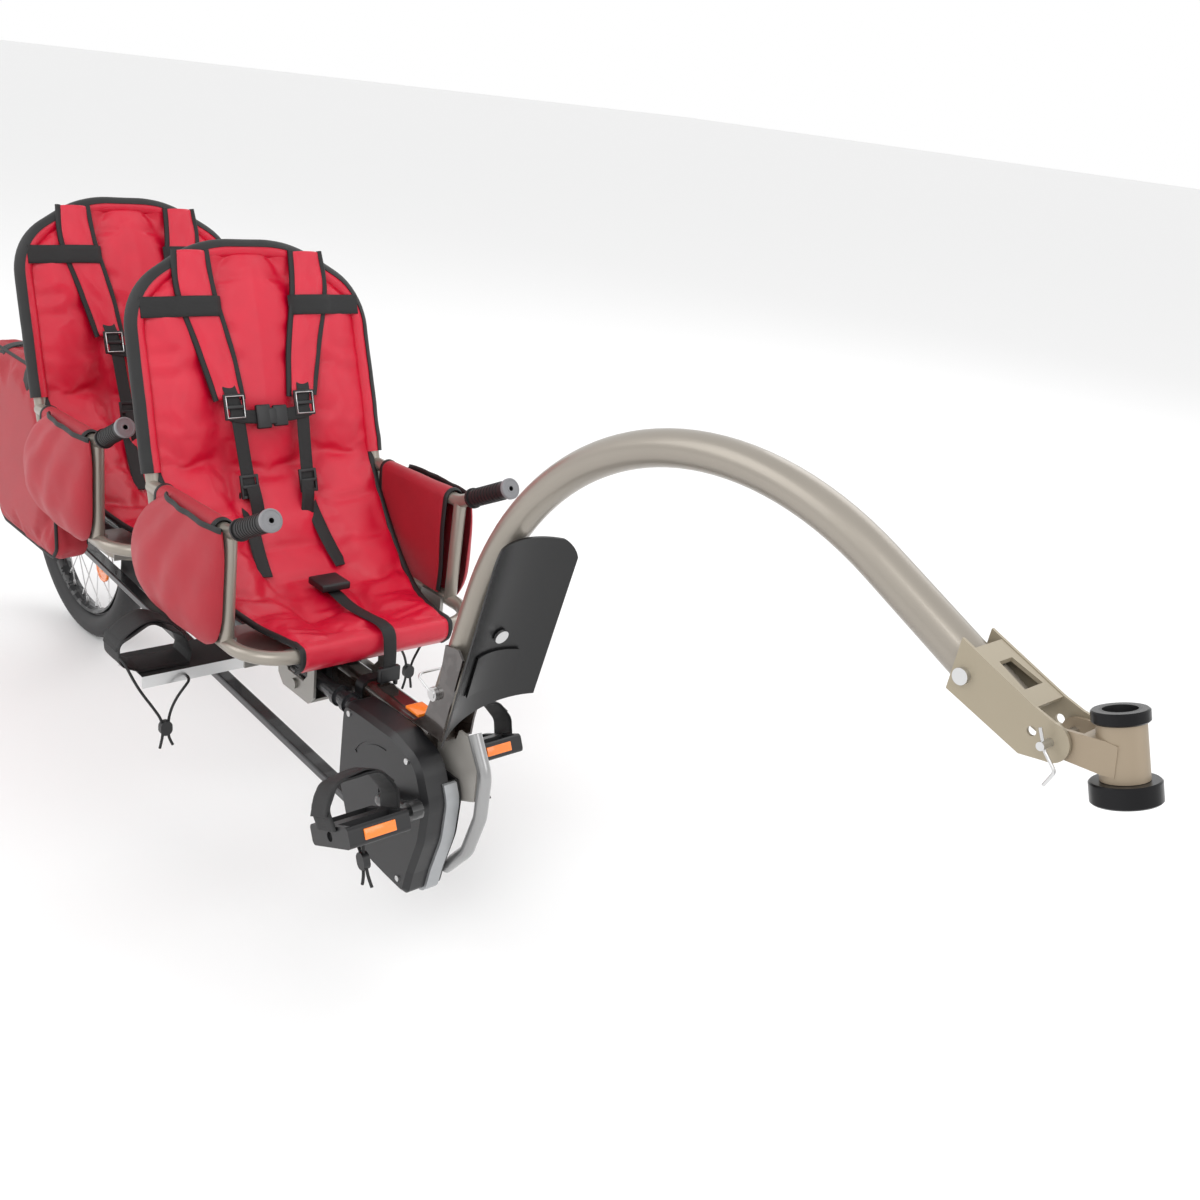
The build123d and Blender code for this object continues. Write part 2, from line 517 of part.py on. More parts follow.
STRIP_OUT, STRIP_RIGHT, STRIP_LEFT, STRIP_BACK = 4, -30, -11, 1094
with BuildPart() as case_seam_strip:
    extrude(case_outline(side(STRIP_LEFT), -STRIP_OUT), amount=STRIP_LEFT - STRIP_RIGHT)
    extrude(case_outline(side(STRIP_LEFT), -0.1), amount=STRIP_LEFT - STRIP_RIGHT, mode=Mode.SUBTRACT)
    box((960, STRIP_BACK), (-40, 0), (90, 340), mode=Mode.SUBTRACT)
    box((960, 1300), (-40, 0), (BOOM_Z - SLEEVE_H / 2 - 0.4, 340), mode=Mode.SUBTRACT)
case_seam_strip.part.label = "case_seam_strip"
export_step(case_seam_strip.part, "parts/case_seam_strip.step")

GROMMET_R, GROMMET_BACK, GROMMET_FRONT, GROMMET_LENGTH = 15, 988, 1021, 8
with BuildPart() as chain_tubes:
    upper_round(UPPER_TUBE_R, UPPER_REAR, UPPER_FRONT)
    upper_round(GROMMET_R, GROMMET_BACK, GROMMET_BACK + GROMMET_LENGTH)
    upper_round(GROMMET_R, GROMMET_FRONT - GROMMET_LENGTH, GROMMET_FRONT)
    upper_round(UPPER_BORE_R, UPPER_REAR - 1, UPPER_FRONT + 1, mode=Mode.SUBTRACT)
    lower_flat(LOWER_TUBE_W, LOWER_TUBE_H, LOWER_REAR, LOWER_FRONT)
    lower_flat(LOWER_TUBE_W - 2 * LOWER_WALL, LOWER_TUBE_H - 2 * LOWER_WALL, LOWER_REAR - 1, LOWER_FRONT + 1,
               mode=Mode.SUBTRACT)
chain_tubes.part.label = "chain_tubes"
export_step(chain_tubes.part, "parts/chain_tubes.step")

# Crank shell under the boom, on a plate that also carries the guard hoop
HOOP_R, HOOP_WALL, HOOP_Y, HOOP_BEND, GUSSET_HALF = 9, 2, 7, 40, 2
HOOP_ROUTE = [at(1230, HOOP_Y, 345), at(1258, HOOP_Y, 300), at(1256, HOOP_Y, 240), at(1236, HOOP_Y, 180),
              at(1196, HOOP_Y, 134)]
GUSSET_OUTLINE = [(1116, 281), (1168.2, 281), (1168.2, 328), (1205, 328), (1210, 343), (1229, 343), (1252, 306),
                  (1251, 262), (1190, 236), (1148, 225), (1130, 232)]
with BuildPart() as crank_hanger:
    with BuildSketch(side()):
        with BuildLine():
            Polyline(*GUSSET_OUTLINE, close=True)
        make_face()
    extrude(amount=GUSSET_HALF, both=True)
    with BuildSketch(side(SHELL_RIGHT)):
        with Locations((CRANK_X, CRANK_Z)):
            Circle(SHELL_R)
    extrude(amount=SHELL_RIGHT - SHELL_LEFT)
    with BuildSketch(side(SHELL_RIGHT)):
        with Locations((CRANK_X, CRANK_Z)):
            Circle(SHELL_BORE_R)
    extrude(amount=SHELL_RIGHT - SHELL_LEFT, mode=Mode.SUBTRACT)
    pipe(HOOP_ROUTE, HOOP_R, HOOP_BEND, mode=Mode.SUBTRACT)
crank_hanger.part.label = "crank_hanger"
export_step(crank_hanger.part, "parts/crank_hanger.step")

with BuildPart() as crank_bearings:
    for y in (SHELL_RIGHT, SHELL_LEFT - BEARING_LENGTH):
        with BuildSketch(side(y)):
            with Locations((CRANK_X, CRANK_Z)):
                Circle(SHELL_BORE_R)
                Circle(CRANK_BAR_R + RUNNING_GAP, mode=Mode.SUBTRACT)
        extrude(amount=-BEARING_LENGTH)
crank_bearings.part.label = "crank_bearings"
export_step(crank_bearings.part, "parts/crank_bearings.step")

with BuildPart() as guard_hoop:
    pipe(HOOP_ROUTE, HOOP_R, HOOP_BEND)
    pipe(HOOP_ROUTE, HOOP_R - HOOP_WALL, HOOP_BEND, mode=Mode.SUBTRACT)
guard_hoop.part.label = "guard_hoop"
export_step(guard_hoop.part, "parts/guard_hoop.step")

# Tow arm
ARM_ROUTE = [at(ARM_FOOT[0], 0, ARM_FOOT[1]), at(ARM_CORNER[0], 0, ARM_CORNER[1]), at(ARM_TIP[0], 0, ARM_TIP[1])]
with BuildPart() as tow_arm:
    pipe(ARM_ROUTE, ARM_R, ARM_BEND)
    pipe(ARM_ROUTE, ARM_R - ARM_WALL, ARM_BEND, mode=Mode.SUBTRACT)
    with BuildSketch(side()):
        with Locations(ARM_PIN):
            Circle(ARM_PIN_R)
        with Locations(TIP_BOLT):
            Circle(TIP_BOLT_R)
    extrude(amount=ARM_R + 2, both=True, mode=Mode.SUBTRACT)
tow_arm.part.label = "tow_arm"
export_step(tow_arm.part, "parts/tow_arm.step")

# Mudflap: a dished sheet in front of the arm, with a second sheet lapped over its lower part
FLAP_FOOT, FLAP_TOP = (1229, 362), (1300, 628)
FLAP_LENGTH = hypot(FLAP_TOP[0] - FLAP_FOOT[0], FLAP_TOP[1] - FLAP_FOOT[1])
FLAP_TILT = Vector(FLAP_TOP[0] - FLAP_FOOT[0], 0, FLAP_TOP[1] - FLAP_FOOT[1]).normalized()
FLAP_HALF, FLAP_DISH, FLAP_SHEET = 60, 25, 3
FLAP_SCREW_X, FLAP_SCREW_Z, SPACER_R, SPACER_REACH = 1267, 497, 7, 28
LAP_RISE, LAP_LENGTH, LAP_HALF = 58, 60, 30


def flap_sheet(rise, length, half, forward):
    """A dished sheet along the flap, from rise up, moved forward by its place in the lap."""
    foot = at(FLAP_FOOT[0], 0, FLAP_FOOT[1]) + FLAP_TILT * rise
    dish = FLAP_DISH * (half / FLAP_HALF) ** 2
    with BuildSketch(Plane(origin=foot, x_dir=(0, 1, 0), z_dir=FLAP_TILT)) as section:
        with BuildLine():
            ThreePointArc((-half, -dish - forward), (0, -forward), (half, -dish - forward))
            Line((half, -dish - forward), (half, -dish - forward - FLAP_SHEET))
            ThreePointArc((half, -dish - forward - FLAP_SHEET), (0, -forward - FLAP_SHEET),
                          (-half, -dish - forward - FLAP_SHEET))
            Line((-half, -dish - forward - FLAP_SHEET), (-half, -dish - forward))
        make_face()
    extrude(section.sketch, amount=length)


with BuildPart() as mudflap:
    flap_sheet(0, FLAP_LENGTH, FLAP_HALF, 0)
    # Rounded top corners and a bottom that runs to a point on the right
    for hand in (-1, 1):
        with BuildSketch(across(1180)):
            with BuildLine():
                Line((hand * 61, FLAP_TOP[1] + 12), (hand * 61, FLAP_TOP[1] - 34))
                ThreePointArc((hand * 61, FLAP_TOP[1] - 34), (hand * 50, FLAP_TOP[1] - 8),
                              (hand * 26, FLAP_TOP[1] + 3))
                Line((hand * 26, FLAP_TOP[1] + 3), (hand * 26, FLAP_TOP[1] + 12))
                Line((hand * 26, FLAP_TOP[1] + 12), (hand * 61, FLAP_TOP[1] + 12))
            make_face()
        extrude(amount=200, mode=Mode.SUBTRACT)
    with BuildSketch(across(1180)):
        with BuildLine():
            Polyline((-66, 340), (-56, 362), (66, 410), (66, 340), close=True)
        make_face()
    extrude(amount=120, mode=Mode.SUBTRACT)
    # The lapped lower sheet, and the spacer that stands the flap off the arm
    flap_sheet(LAP_RISE, LAP_LENGTH, LAP_HALF, FLAP_SHEET)
    rod(at(FLAP_SCREW_X - SPACER_REACH, 0, FLAP_SCREW_Z + 8), at(FLAP_SCREW_X, 0, FLAP_SCREW_Z), SPACER_R)
    pipe(ARM_ROUTE, ARM_R, ARM_BEND, mode=Mode.SUBTRACT)
mudflap.part.label = "mudflap"
export_step(mudflap.part, "parts/mudflap.step")

# Footrest: a channel across under the boom, with a strap loop and an elastic cord at each end
REST_BACK, REST_FRONT, REST_HALF, REST_TOP, REST_SHEET, REST_FLANGE = 702, 786, 225, 283, 3, 18
with BuildPart() as footrest:
    box((REST_BACK, REST_FRONT), (-REST_HALF, REST_HALF), (REST_TOP - REST_FLANGE, REST_TOP))
    box((REST_BACK + REST_SHEET, REST_FRONT - REST_SHEET), (-REST_HALF - 1, REST_HALF + 1),
        (REST_TOP - REST_FLANGE - 1, REST_TOP - REST_SHEET), mode=Mode.SUBTRACT)
footrest.part.label = "footrest"
export_step(footrest.part, "parts/footrest.step")

STRAP_BACK, STRAP_FRONT, STRAP_SHEET, STRAP_BEND = 722, 776, 3, 16
STRAP_ROUTE = [(REST_HALF - 3, REST_TOP + 1.6), (250, 300), (252, 330), (205, 356), (158, 326),
               (150, REST_TOP + 1.6)]
with BuildPart() as footrest_straps:
    for hand in (-1, 1):
        with BuildSketch(across(STRAP_BACK)):
            with BuildLine():
                FilletPolyline(*[(hand * y, z) for y, z in STRAP_ROUTE], radius=STRAP_BEND)
            trace(line_width=STRAP_SHEET)
        extrude(amount=STRAP_FRONT - STRAP_BACK)
        box((STRAP_BACK, STRAP_FRONT), (hand * 152, hand * 222), (REST_TOP + 0.1, REST_TOP + 2.6))
footrest_straps.part.label = "footrest_straps"
export_step(footrest_straps.part, "parts/footrest_straps.step")

# Elastic cords: down from the strap, through the lock and back to the channel's front flange
LOCK_THICKNESS, LOCK_WIDTH, LOCK_HEIGHT = 9, 17, 22
REST_LOCK = (803, 200, 207)


def cord(points, name):
    """A cord's tube: straight runs and the largest arcs that they allow."""
    radii = corner_radii(points)
    pipe(points, CORD_R, radii)
    runs = [(end - start).length for start, end in zip(points, points[1:])]
    print(name, "radii", [round(r) for r in radii], "runs", [round(r) for r in runs])


REST_CORD = [(776, 251, 312), (790, 251, 312), (800, 248, 300), (803, 241, 283), (803, 231, 264), (803, 218, 243),
             (803, 204, 218)]
REST_CORD_BACK = [(803, 196, 218), (803, 191, 236), (803, 182, 252), (802, 171, 264), (797, 161, 271),
                  (786, 161, 271)]
REST_TAILS = [[(803, 204, 196), (803, 206, 186), (802, 208, 176)],
              [(803, 196, 196), (803, 194, 187), (804, 190, 178)]]
for hand, name in ((-1, "footrest_cord_right"), (1, "footrest_cord_left")):
    with BuildPart() as footrest_cord:
        for route in (REST_CORD, REST_CORD_BACK, *REST_TAILS):
            cord([at(x, hand * y, z) for x, y, z in route], name)
    footrest_cord.part.label = name
    export_step(footrest_cord.part, f"parts/{name}.step")

with BuildPart() as footrest_locks:
    for hand in (-1, 1):
        with BuildSketch(across(REST_LOCK[0] - LOCK_THICKNESS / 2)):
            with Locations((hand * REST_LOCK[1], REST_LOCK[2])):
                SlotOverall(LOCK_HEIGHT, LOCK_WIDTH, rotation=90)
        extrude(amount=LOCK_THICKNESS)
footrest_locks.part.label = "footrest_locks"
export_step(footrest_locks.part, "parts/footrest_locks.step")

# Hitch: folded plates on the arm's end, a pin, and the receiver that turns on the seatpost's bushing
HITCH_AXIS = Vector(-sin(radians(POST_LEAN)), 0, cos(radians(POST_LEAN)))
PLATE_OUTLINE = [(1858, 692), (1862, 737), (1934, 709.2), (1952, 704), (1952, 672), (1930, 668)]
with BuildPart() as hitch_plates:
    for hand in (-1, 1):
        with BuildSketch(side(hand * (COUPLER_HALF + COUPLER_SHEET / 2))):
            with BuildLine():
                Polyline(*PLATE_OUTLINE, close=True)
            make_face()
            with Locations((PIN_X, PIN_Z)):
                Circle(COUPLER_END_R)
                Circle(PIN_R, mode=Mode.SUBTRACT)
            with Locations(STOP_HOLE, TIP_BOLT):
                Circle(TIP_BOLT_R, mode=Mode.SUBTRACT)
        extrude(amount=COUPLER_SHEET / 2, both=True)
    # The web over the arm, with its window
    with BuildSketch(side()):
        with BuildLine():
            Polyline((1872, 729), (1872.8, 732.2), (1934, 708.6), (1933, 705.5), close=True)
        make_face()
    extrude(amount=COUPLER_HALF + COUPLER_SHEET, both=True)
    with BuildSketch(level(740)):
        with BuildLine():
            Polyline((1890, -9), (1890, 9), (1918, 13), (1918, -13), close=True)
        make_face()
    extrude(amount=-50, mode=Mode.SUBTRACT)
    pipe(ARM_ROUTE, ARM_R, ARM_BEND, mode=Mode.SUBTRACT)
hitch_plates.part.label = "hitch_plates"
export_step(hitch_plates.part, "parts/hitch_plates.step")

PIN_HEAD_Y, PIN_HEAD_R, PIN_CLIP_Y, PIN_TAIL, CLIP_R, CLIP_BEND = 30, 8, -31, 5, 1.4, 5
with BuildPart() as hitch_pin:
    with BuildSketch(side(PIN_HEAD_Y)):
        with Locations((PIN_X, PIN_Z)):
            Circle(PIN_R)
    extrude(amount=PIN_HEAD_Y - PIN_CLIP_Y + PIN_TAIL)
    with BuildSketch(side(PIN_HEAD_Y)):
        with Locations((PIN_X, PIN_Z)):
            Circle(PIN_HEAD_R)
    extrude(amount=PIN_HEAD_Y - COUPLER_HALF - COUPLER_SHEET)
    # A wire clip through the pin's end, with a bent tail
    pipe([at(PIN_X - 6, PIN_CLIP_Y, PIN_Z + 12), at(PIN_X + 2, PIN_CLIP_Y, PIN_Z - 4),
          at(PIN_X + 14, PIN_CLIP_Y, PIN_Z - 16), at(PIN_X + 8, PIN_CLIP_Y, PIN_Z - 30)], CLIP_R, CLIP_BEND)
hitch_pin.part.label = "hitch_pin"
export_step(hitch_pin.part, "parts/hitch_pin.step")

LUG_HALF, LUG_R, LUG_WALL = 18.5, 11, 4
with BuildPart() as receiver:
    rod(HITCH_AXIS * (-RECEIVER_H / 2), HITCH_AXIS * (RECEIVER_H / 2), RECEIVER_R)
    # A U-bracket: two lugs back to the pin
    with BuildSketch(side()):
        with BuildLine():
            Polyline((PIN_X - 2, PIN_Z + LUG_R), (1990, 706), (2000, 706), (2004, 682), (1994, 680),
                     (PIN_X, PIN_Z - LUG_R), close=True)
        make_face()
        with Locations((PIN_X, PIN_Z)):
            Circle(LUG_R)
    extrude(amount=LUG_HALF, both=True)
    box((PIN_X - 14, 1972), (-LUG_HALF + LUG_WALL, LUG_HALF - LUG_WALL), (PIN_Z - 16, PIN_Z + 22),
        mode=Mode.SUBTRACT)
    with BuildSketch(side()):
        with Locations((PIN_X, PIN_Z)):
            Circle(PIN_R + RUNNING_GAP)
    extrude(amount=30, both=True, mode=Mode.SUBTRACT)
    rod(HITCH_AXIS * -60, HITCH_AXIS * 60, BUSH_R + RUNNING_GAP, mode=Mode.SUBTRACT)
receiver.part.label = "receiver"
export_step(receiver.part, "parts/receiver.step")

COLLAR_GAP = 0.3
with BuildPart() as seatpost_bushing:
    rod(HITCH_AXIS * (-RECEIVER_H / 2 - LOW_COLLAR_H), HITCH_AXIS * (RECEIVER_H / 2 + TOP_COLLAR_H), BUSH_R)
    rod(HITCH_AXIS * -60, HITCH_AXIS * 60, POST_R, mode=Mode.SUBTRACT)
seatpost_bushing.part.label = "seatpost_bushing"
export_step(seatpost_bushing.part, "parts/seatpost_bushing.step")

with BuildPart() as seatpost_collars:
    for foot, height, radius in ((RECEIVER_H / 2 + COLLAR_GAP, TOP_COLLAR_H - COLLAR_GAP, TOP_COLLAR_R),
                                 (-RECEIVER_H / 2 - LOW_COLLAR_H, LOW_COLLAR_H - COLLAR_GAP, LOW_COLLAR_R)):
        rod(HITCH_AXIS * foot, HITCH_AXIS * (foot + height), radius)
        edges = seatpost_collars.edges().filter_by(GeomType.CIRCLE).filter_by(lambda e: e.radius == radius)
        chamfer(edges, length=1.2)
    rod(HITCH_AXIS * -60, HITCH_AXIS * 60, BUSH_R, mode=Mode.SUBTRACT)
seatpost_collars.part.label = "seatpost_collars"
export_step(seatpost_collars.part, "parts/seatpost_collars.step")

# Pedals: a cage on the spindle, tilted nose up, with a wide strap over the foot and a cord below
PEDAL_TILT, CAGE_HALF_X, CAGE_HALF_Y, CAGE_HALF_Z, CAGE_CORNER, CAGE_WALL = 25, 45, 41, 13, 6, 7
WINDOW_X, WINDOW_W, WINDOW_H = 26, 30, 40
FOOT_STRAP = [(-42.6, 7.5), (-47, 34), (-30, 62), (30, 62), (47, 34), (42.6, 7.5)]
FOOT_STRAP_HALF, FOOT_STRAP_BEND, TOE_LOCK = 22, 18, (-8, -41)
TOE_CORDS = [[(-15, -13), (-15, -19), (-13.5, -25), (-11, -30)], [(-1, -13), (-1, -19), (-2.5, -25), (-5, -30)],
             [(-12, -52), (-15, -62), (-21, -71)], [(-4, -52), (-3, -63), (1, -73)]]
for hand, name in ((-1, "right"), (1, "left")):
    centre_x, centre_z = CRANK_X - hand * REACH_X, CRANK_Z - hand * REACH_Z
    pedal = Plane(origin=at(centre_x, hand * PEDAL_Y, centre_z), z_dir=(0, -1, 0),
                  x_dir=(cos(radians(PEDAL_TILT)), 0, sin(radians(PEDAL_TILT))))
    with BuildPart() as pedal_cage:
        with BuildSketch(pedal):
            RectangleRounded(2 * CAGE_HALF_X, 2 * CAGE_HALF_Z, CAGE_CORNER)
        extrude(amount=CAGE_HALF_Y, both=True)
        with BuildSketch(pedal):
            with Locations((-WINDOW_X, 0), (WINDOW_X, 0)):
                RectangleRounded(WINDOW_W, WINDOW_H, CAGE_CORNER / 2)
        extrude(amount=CAGE_HALF_Y - CAGE_WALL, both=True, mode=Mode.SUBTRACT)
        with BuildSketch(pedal):
            Circle(SPINDLE_R + RUNNING_GAP)
        extrude(amount=CAGE_HALF_Y + 5, both=True, mode=Mode.SUBTRACT)
    pedal_cage.part.label = f"pedal_cage_{name}"
    export_step(pedal_cage.part, f"parts/pedal_cage_{name}.step")
    across_pedal = Plane(origin=pedal.origin + pedal.x_dir * -FOOT_STRAP_HALF, x_dir=(0, 1, 0), z_dir=pedal.x_dir)
    with BuildPart() as foot_strap:
        with BuildSketch(across_pedal):
            with BuildLine():
                FilletPolyline(*FOOT_STRAP, radius=FOOT_STRAP_BEND)
            trace(line_width=STRAP_SHEET)
        extrude(amount=2 * FOOT_STRAP_HALF)
    foot_strap.part.label = f"foot_strap_{name}"
    export_step(foot_strap.part, f"parts/foot_strap_{name}.step")
    with BuildPart() as toe_lock:
        with BuildSketch(pedal.offset(-LOCK_THICKNESS / 2)):
            with Locations(TOE_LOCK):
                SlotOverall(LOCK_HEIGHT, LOCK_WIDTH, rotation=90)
        extrude(amount=LOCK_THICKNESS)
    toe_lock.part.label = f"toe_lock_{name}"
    export_step(toe_lock.part, f"parts/toe_lock_{name}.step")
    with BuildPart() as toe_cord:
        for route in TOE_CORDS:
            cord([pedal.from_local_coords(Vector(x, z, 0)) for x, z in route], f"toe_cord_{name}")
    toe_cord.part.label = f"toe_cord_{name}"
    export_step(toe_cord.part, f"parts/toe_cord_{name}.step")

# Seats: each piece is made for the front seat and written again further back for the rear one
BACK_UP = Vector(-sin(radians(BACK_RECLINE)), 0, cos(radians(BACK_RECLINE)))
back = Plane(origin=at(BACK_X, 0, BACK_Z), x_dir=(0, 1, 0), z_dir=(BACK_UP.Z, 0, -BACK_UP.X))
SEATS = (("front", 0), ("rear", -SEAT_SPACING))


def on_back(y, up, out=0.0):
    """A point of the reclined back: y to the left, up from the back's lower corners, out in front of it."""
    return back.from_local_coords(Vector(y, up, out))


def save_seat_piece(piece, name):
    """Write one seat piece for both seats."""
    for seat, shift in SEATS:
        copy = piece.moved(Location((shift, 0, 0)))
        copy.label = f"{seat}_{name}"
        export_step(copy, f"parts/{seat}_{name}.step")


BACK_HOOP = [on_back(-174.5, -158), on_back(-174, 20), on_back(-170, 238), on_back(-66, 300), on_back(66, 300),
             on_back(170, 238), on_back(174, 20), on_back(174.5, -158)]
BACK_HOOP_BENDS = [200, 85, 150, 150, 85, 200]
ARM_TUBE_BEND, BASE_CROSS_X = 60, BASE_REAR + 9
BASE_U = [at(BASE_REAR, -BASE_HALF, BASE_Z), at(BASE_FRONT, -BASE_HALF, BASE_Z), at(BASE_FRONT, BASE_HALF, BASE_Z),
          at(BASE_REAR, BASE_HALF, BASE_Z)]
SEAT_POST_R = 9.2


def hand_arm(hand):
    """The armrest tube: from the back hoop over the post, then up to the grip."""
    return [at(ARM_BACK[0], hand * ARM_BACK[1], ARM_BACK[2]), at(POST_TOP_X, hand * BASE_HALF, POST_TOP_Z),
            at(GRIP_END[0], hand * GRIP_END[1], GRIP_END[2])]


with BuildPart() as seat_frame:
    pipe(BASE_U, SEAT_TUBE_R, BASE_CORNER)
    rod(at(BASE_CROSS_X, -BASE_HALF, BASE_Z), at(BASE_CROSS_X, BASE_HALF, BASE_Z), SEAT_POST_R)
    for hand in (-1, 1):
        rod(at(POST_FOOT_X, hand * BASE_HALF, BASE_Z), at(POST_TOP_X, hand * BASE_HALF, POST_TOP_Z), SEAT_POST_R)
        pipe(hand_arm(hand), SEAT_TUBE_R, ARM_TUBE_BEND)
    pipe(BASE_U, SEAT_TUBE_R - SEAT_TUBE_WALL, BASE_CORNER, mode=Mode.SUBTRACT)
    for hand in (-1, 1):
        pipe(hand_arm(hand), SEAT_TUBE_R - SEAT_TUBE_WALL, ARM_TUBE_BEND, mode=Mode.SUBTRACT)
    pipe(BACK_HOOP, SEAT_TUBE_R, BACK_HOOP_BENDS, mode=Mode.SUBTRACT)
save_seat_piece(seat_frame.part, "seat_frame")

with BuildPart() as back_hoop:
    pipe(BACK_HOOP, SEAT_TUBE_R, BACK_HOOP_BENDS)
    pipe(BACK_HOOP, SEAT_TUBE_R - SEAT_TUBE_WALL, BACK_HOOP_BENDS, mode=Mode.SUBTRACT)
    pipe(BASE_U, SEAT_TUBE_R, BASE_CORNER, mode=Mode.SUBTRACT)
save_seat_piece(back_hoop.part, "back_hoop")

GRIP_R, GRIP_FLANGE_R, GRIP_CAP_R, GRIP_LENGTH = 12.3, 14.5, 14, 84
GRIP_RINGS, GRIP_RING_STEP, GRIP_RING_WIDTH, GRIP_RING_OUT, CAP_HOLE_R, GRIP_FIT = 9, 7, 3, 0.7, 3, 0.05
with BuildPart() as grips:
    for hand in (-1, 1):
        tip = at(GRIP_END[0], hand * GRIP_END[1], GRIP_END[2])
        along = (tip - at(POST_TOP_X, hand * BASE_HALF, POST_TOP_Z)).normalized()
        rod(tip - along * GRIP_LENGTH, tip + along * 0.5, GRIP_R)
        rod(tip - along * GRIP_LENGTH, tip - along * (GRIP_LENGTH - 4), GRIP_FLANGE_R)
        rod(tip, tip + along * 5, GRIP_CAP_R)
        for ring in range(GRIP_RINGS):
            start = tip - along * GRIP_RING_STEP * (2 + ring)
            rod(start, start - along * GRIP_RING_WIDTH, GRIP_R + GRIP_RING_OUT)
        rod(tip - along * (GRIP_LENGTH + 1), tip, SEAT_TUBE_R + GRIP_FIT, mode=Mode.SUBTRACT)
        rod(tip - along, tip + along * 6, CAP_HOLE_R, mode=Mode.SUBTRACT)
save_seat_piece(grips.part, "grips")

# The sling: one cloth from the hoop's top down the back, over the seat and round the front tube.
# Each section gives the middle's place, the way it runs in degrees, its half width, how far its
# edges rise above its middle, and its thickness.
SLING_SEAM_SHARE, SLING_HUMP, SLING_BOLSTER = 0.41, 5, 5
SLEEVE_R, WRAP_R, WRAP_SHEET, WRAP_HALF, TUBE_CLEARANCE = 12.5, 11.5, 3, 112, 0.3


def back_section(up, half, rise, thickness=8):
    """A sling section on the back, sunk behind the hoop's plane by its edges' rise."""
    place = on_back(0, up, thickness / 2 - rise)
    return (place.X + HITCH_X, place.Z + HITCH_Z, BACK_RECLINE - 90, half, rise, thickness)


SLING = [back_section(296, 70, 0), back_section(262, 122, 0), back_section(222, 158, 0), back_section(150, 166, 2),
         back_section(60, 168, 7), back_section(4, 168, 16), (733, 488, -58, 159, 24, 8), (786, 432, -42, 154, 24,
                                                                                           8),
         (848, 394, -18, 146, 20, 8), (915, 383, 0, 130, 14, 8), (970, 389, 8, 118, 7, 6), (1004, 396.2, 8, 112, 1,
                                                                                            3)]

with BuildPart() as sling:
    for x, z, heading, half, rise, thickness in SLING:
        run = Vector(cos(radians(heading)), 0, sin(radians(heading)))
        seam = half * SLING_SEAM_SHARE
        seam_rise = rise * SLING_SEAM_SHARE ** 2
        bolster = ((half + seam) / 2, (rise + seam_rise) / 2 + SLING_BOLSTER - rise / 8)
        with BuildSketch(Plane(origin=at(x, 0, z), x_dir=(0, 1, 0), z_dir=run)):
            with BuildLine():
                ThreePointArc((-half, rise), (-bolster[0], bolster[1]), (-seam, seam_rise))
                ThreePointArc((-seam, seam_rise), (0, SLING_HUMP), (seam, seam_rise))
                ThreePointArc((seam, seam_rise), bolster, (half, rise))
                Line((half, rise), (half, rise - thickness))
                ThreePointArc((half, rise - thickness), (0, -thickness), (-half, rise - thickness + 0.001))
                Line((-half, rise - thickness + 0.001), (-half, rise))
            make_face()
    loft()
    # The sleeve sewn round the hoop, open below the back's corners
    pipe(BACK_HOOP, SLEEVE_R, BACK_HOOP_BENDS)
    with BuildSketch(Plane(origin=on_back(0, 0), x_dir=(0, 1, 0), z_dir=BACK_UP)):
        for hand in (-1, 1):
            with Locations((hand * 174, 0)):
                Rectangle(30, 60)
    extrude(amount=-200, mode=Mode.SUBTRACT)
    # The front hem, wrapped round the front tube and hanging behind it
    with BuildSketch(side()):
        with BuildLine():
            FilletPolyline((998, BASE_Z + WRAP_R), (BASE_FRONT + WRAP_R, BASE_Z + WRAP_R),
                           (BASE_FRONT + WRAP_R, BASE_Z - 12), (1006, 360), radius=WRAP_R - 0.2)
        trace(line_width=WRAP_SHEET)
    extrude(amount=WRAP_HALF, both=True)
    pipe(BACK_HOOP, SEAT_TUBE_R + TUBE_CLEARANCE, BACK_HOOP_BENDS, mode=Mode.SUBTRACT)
    pipe(BASE_U, SEAT_TUBE_R + TUBE_CLEARANCE, BASE_CORNER, mode=Mode.SUBTRACT)
save_seat_piece(sling.part, "sling")

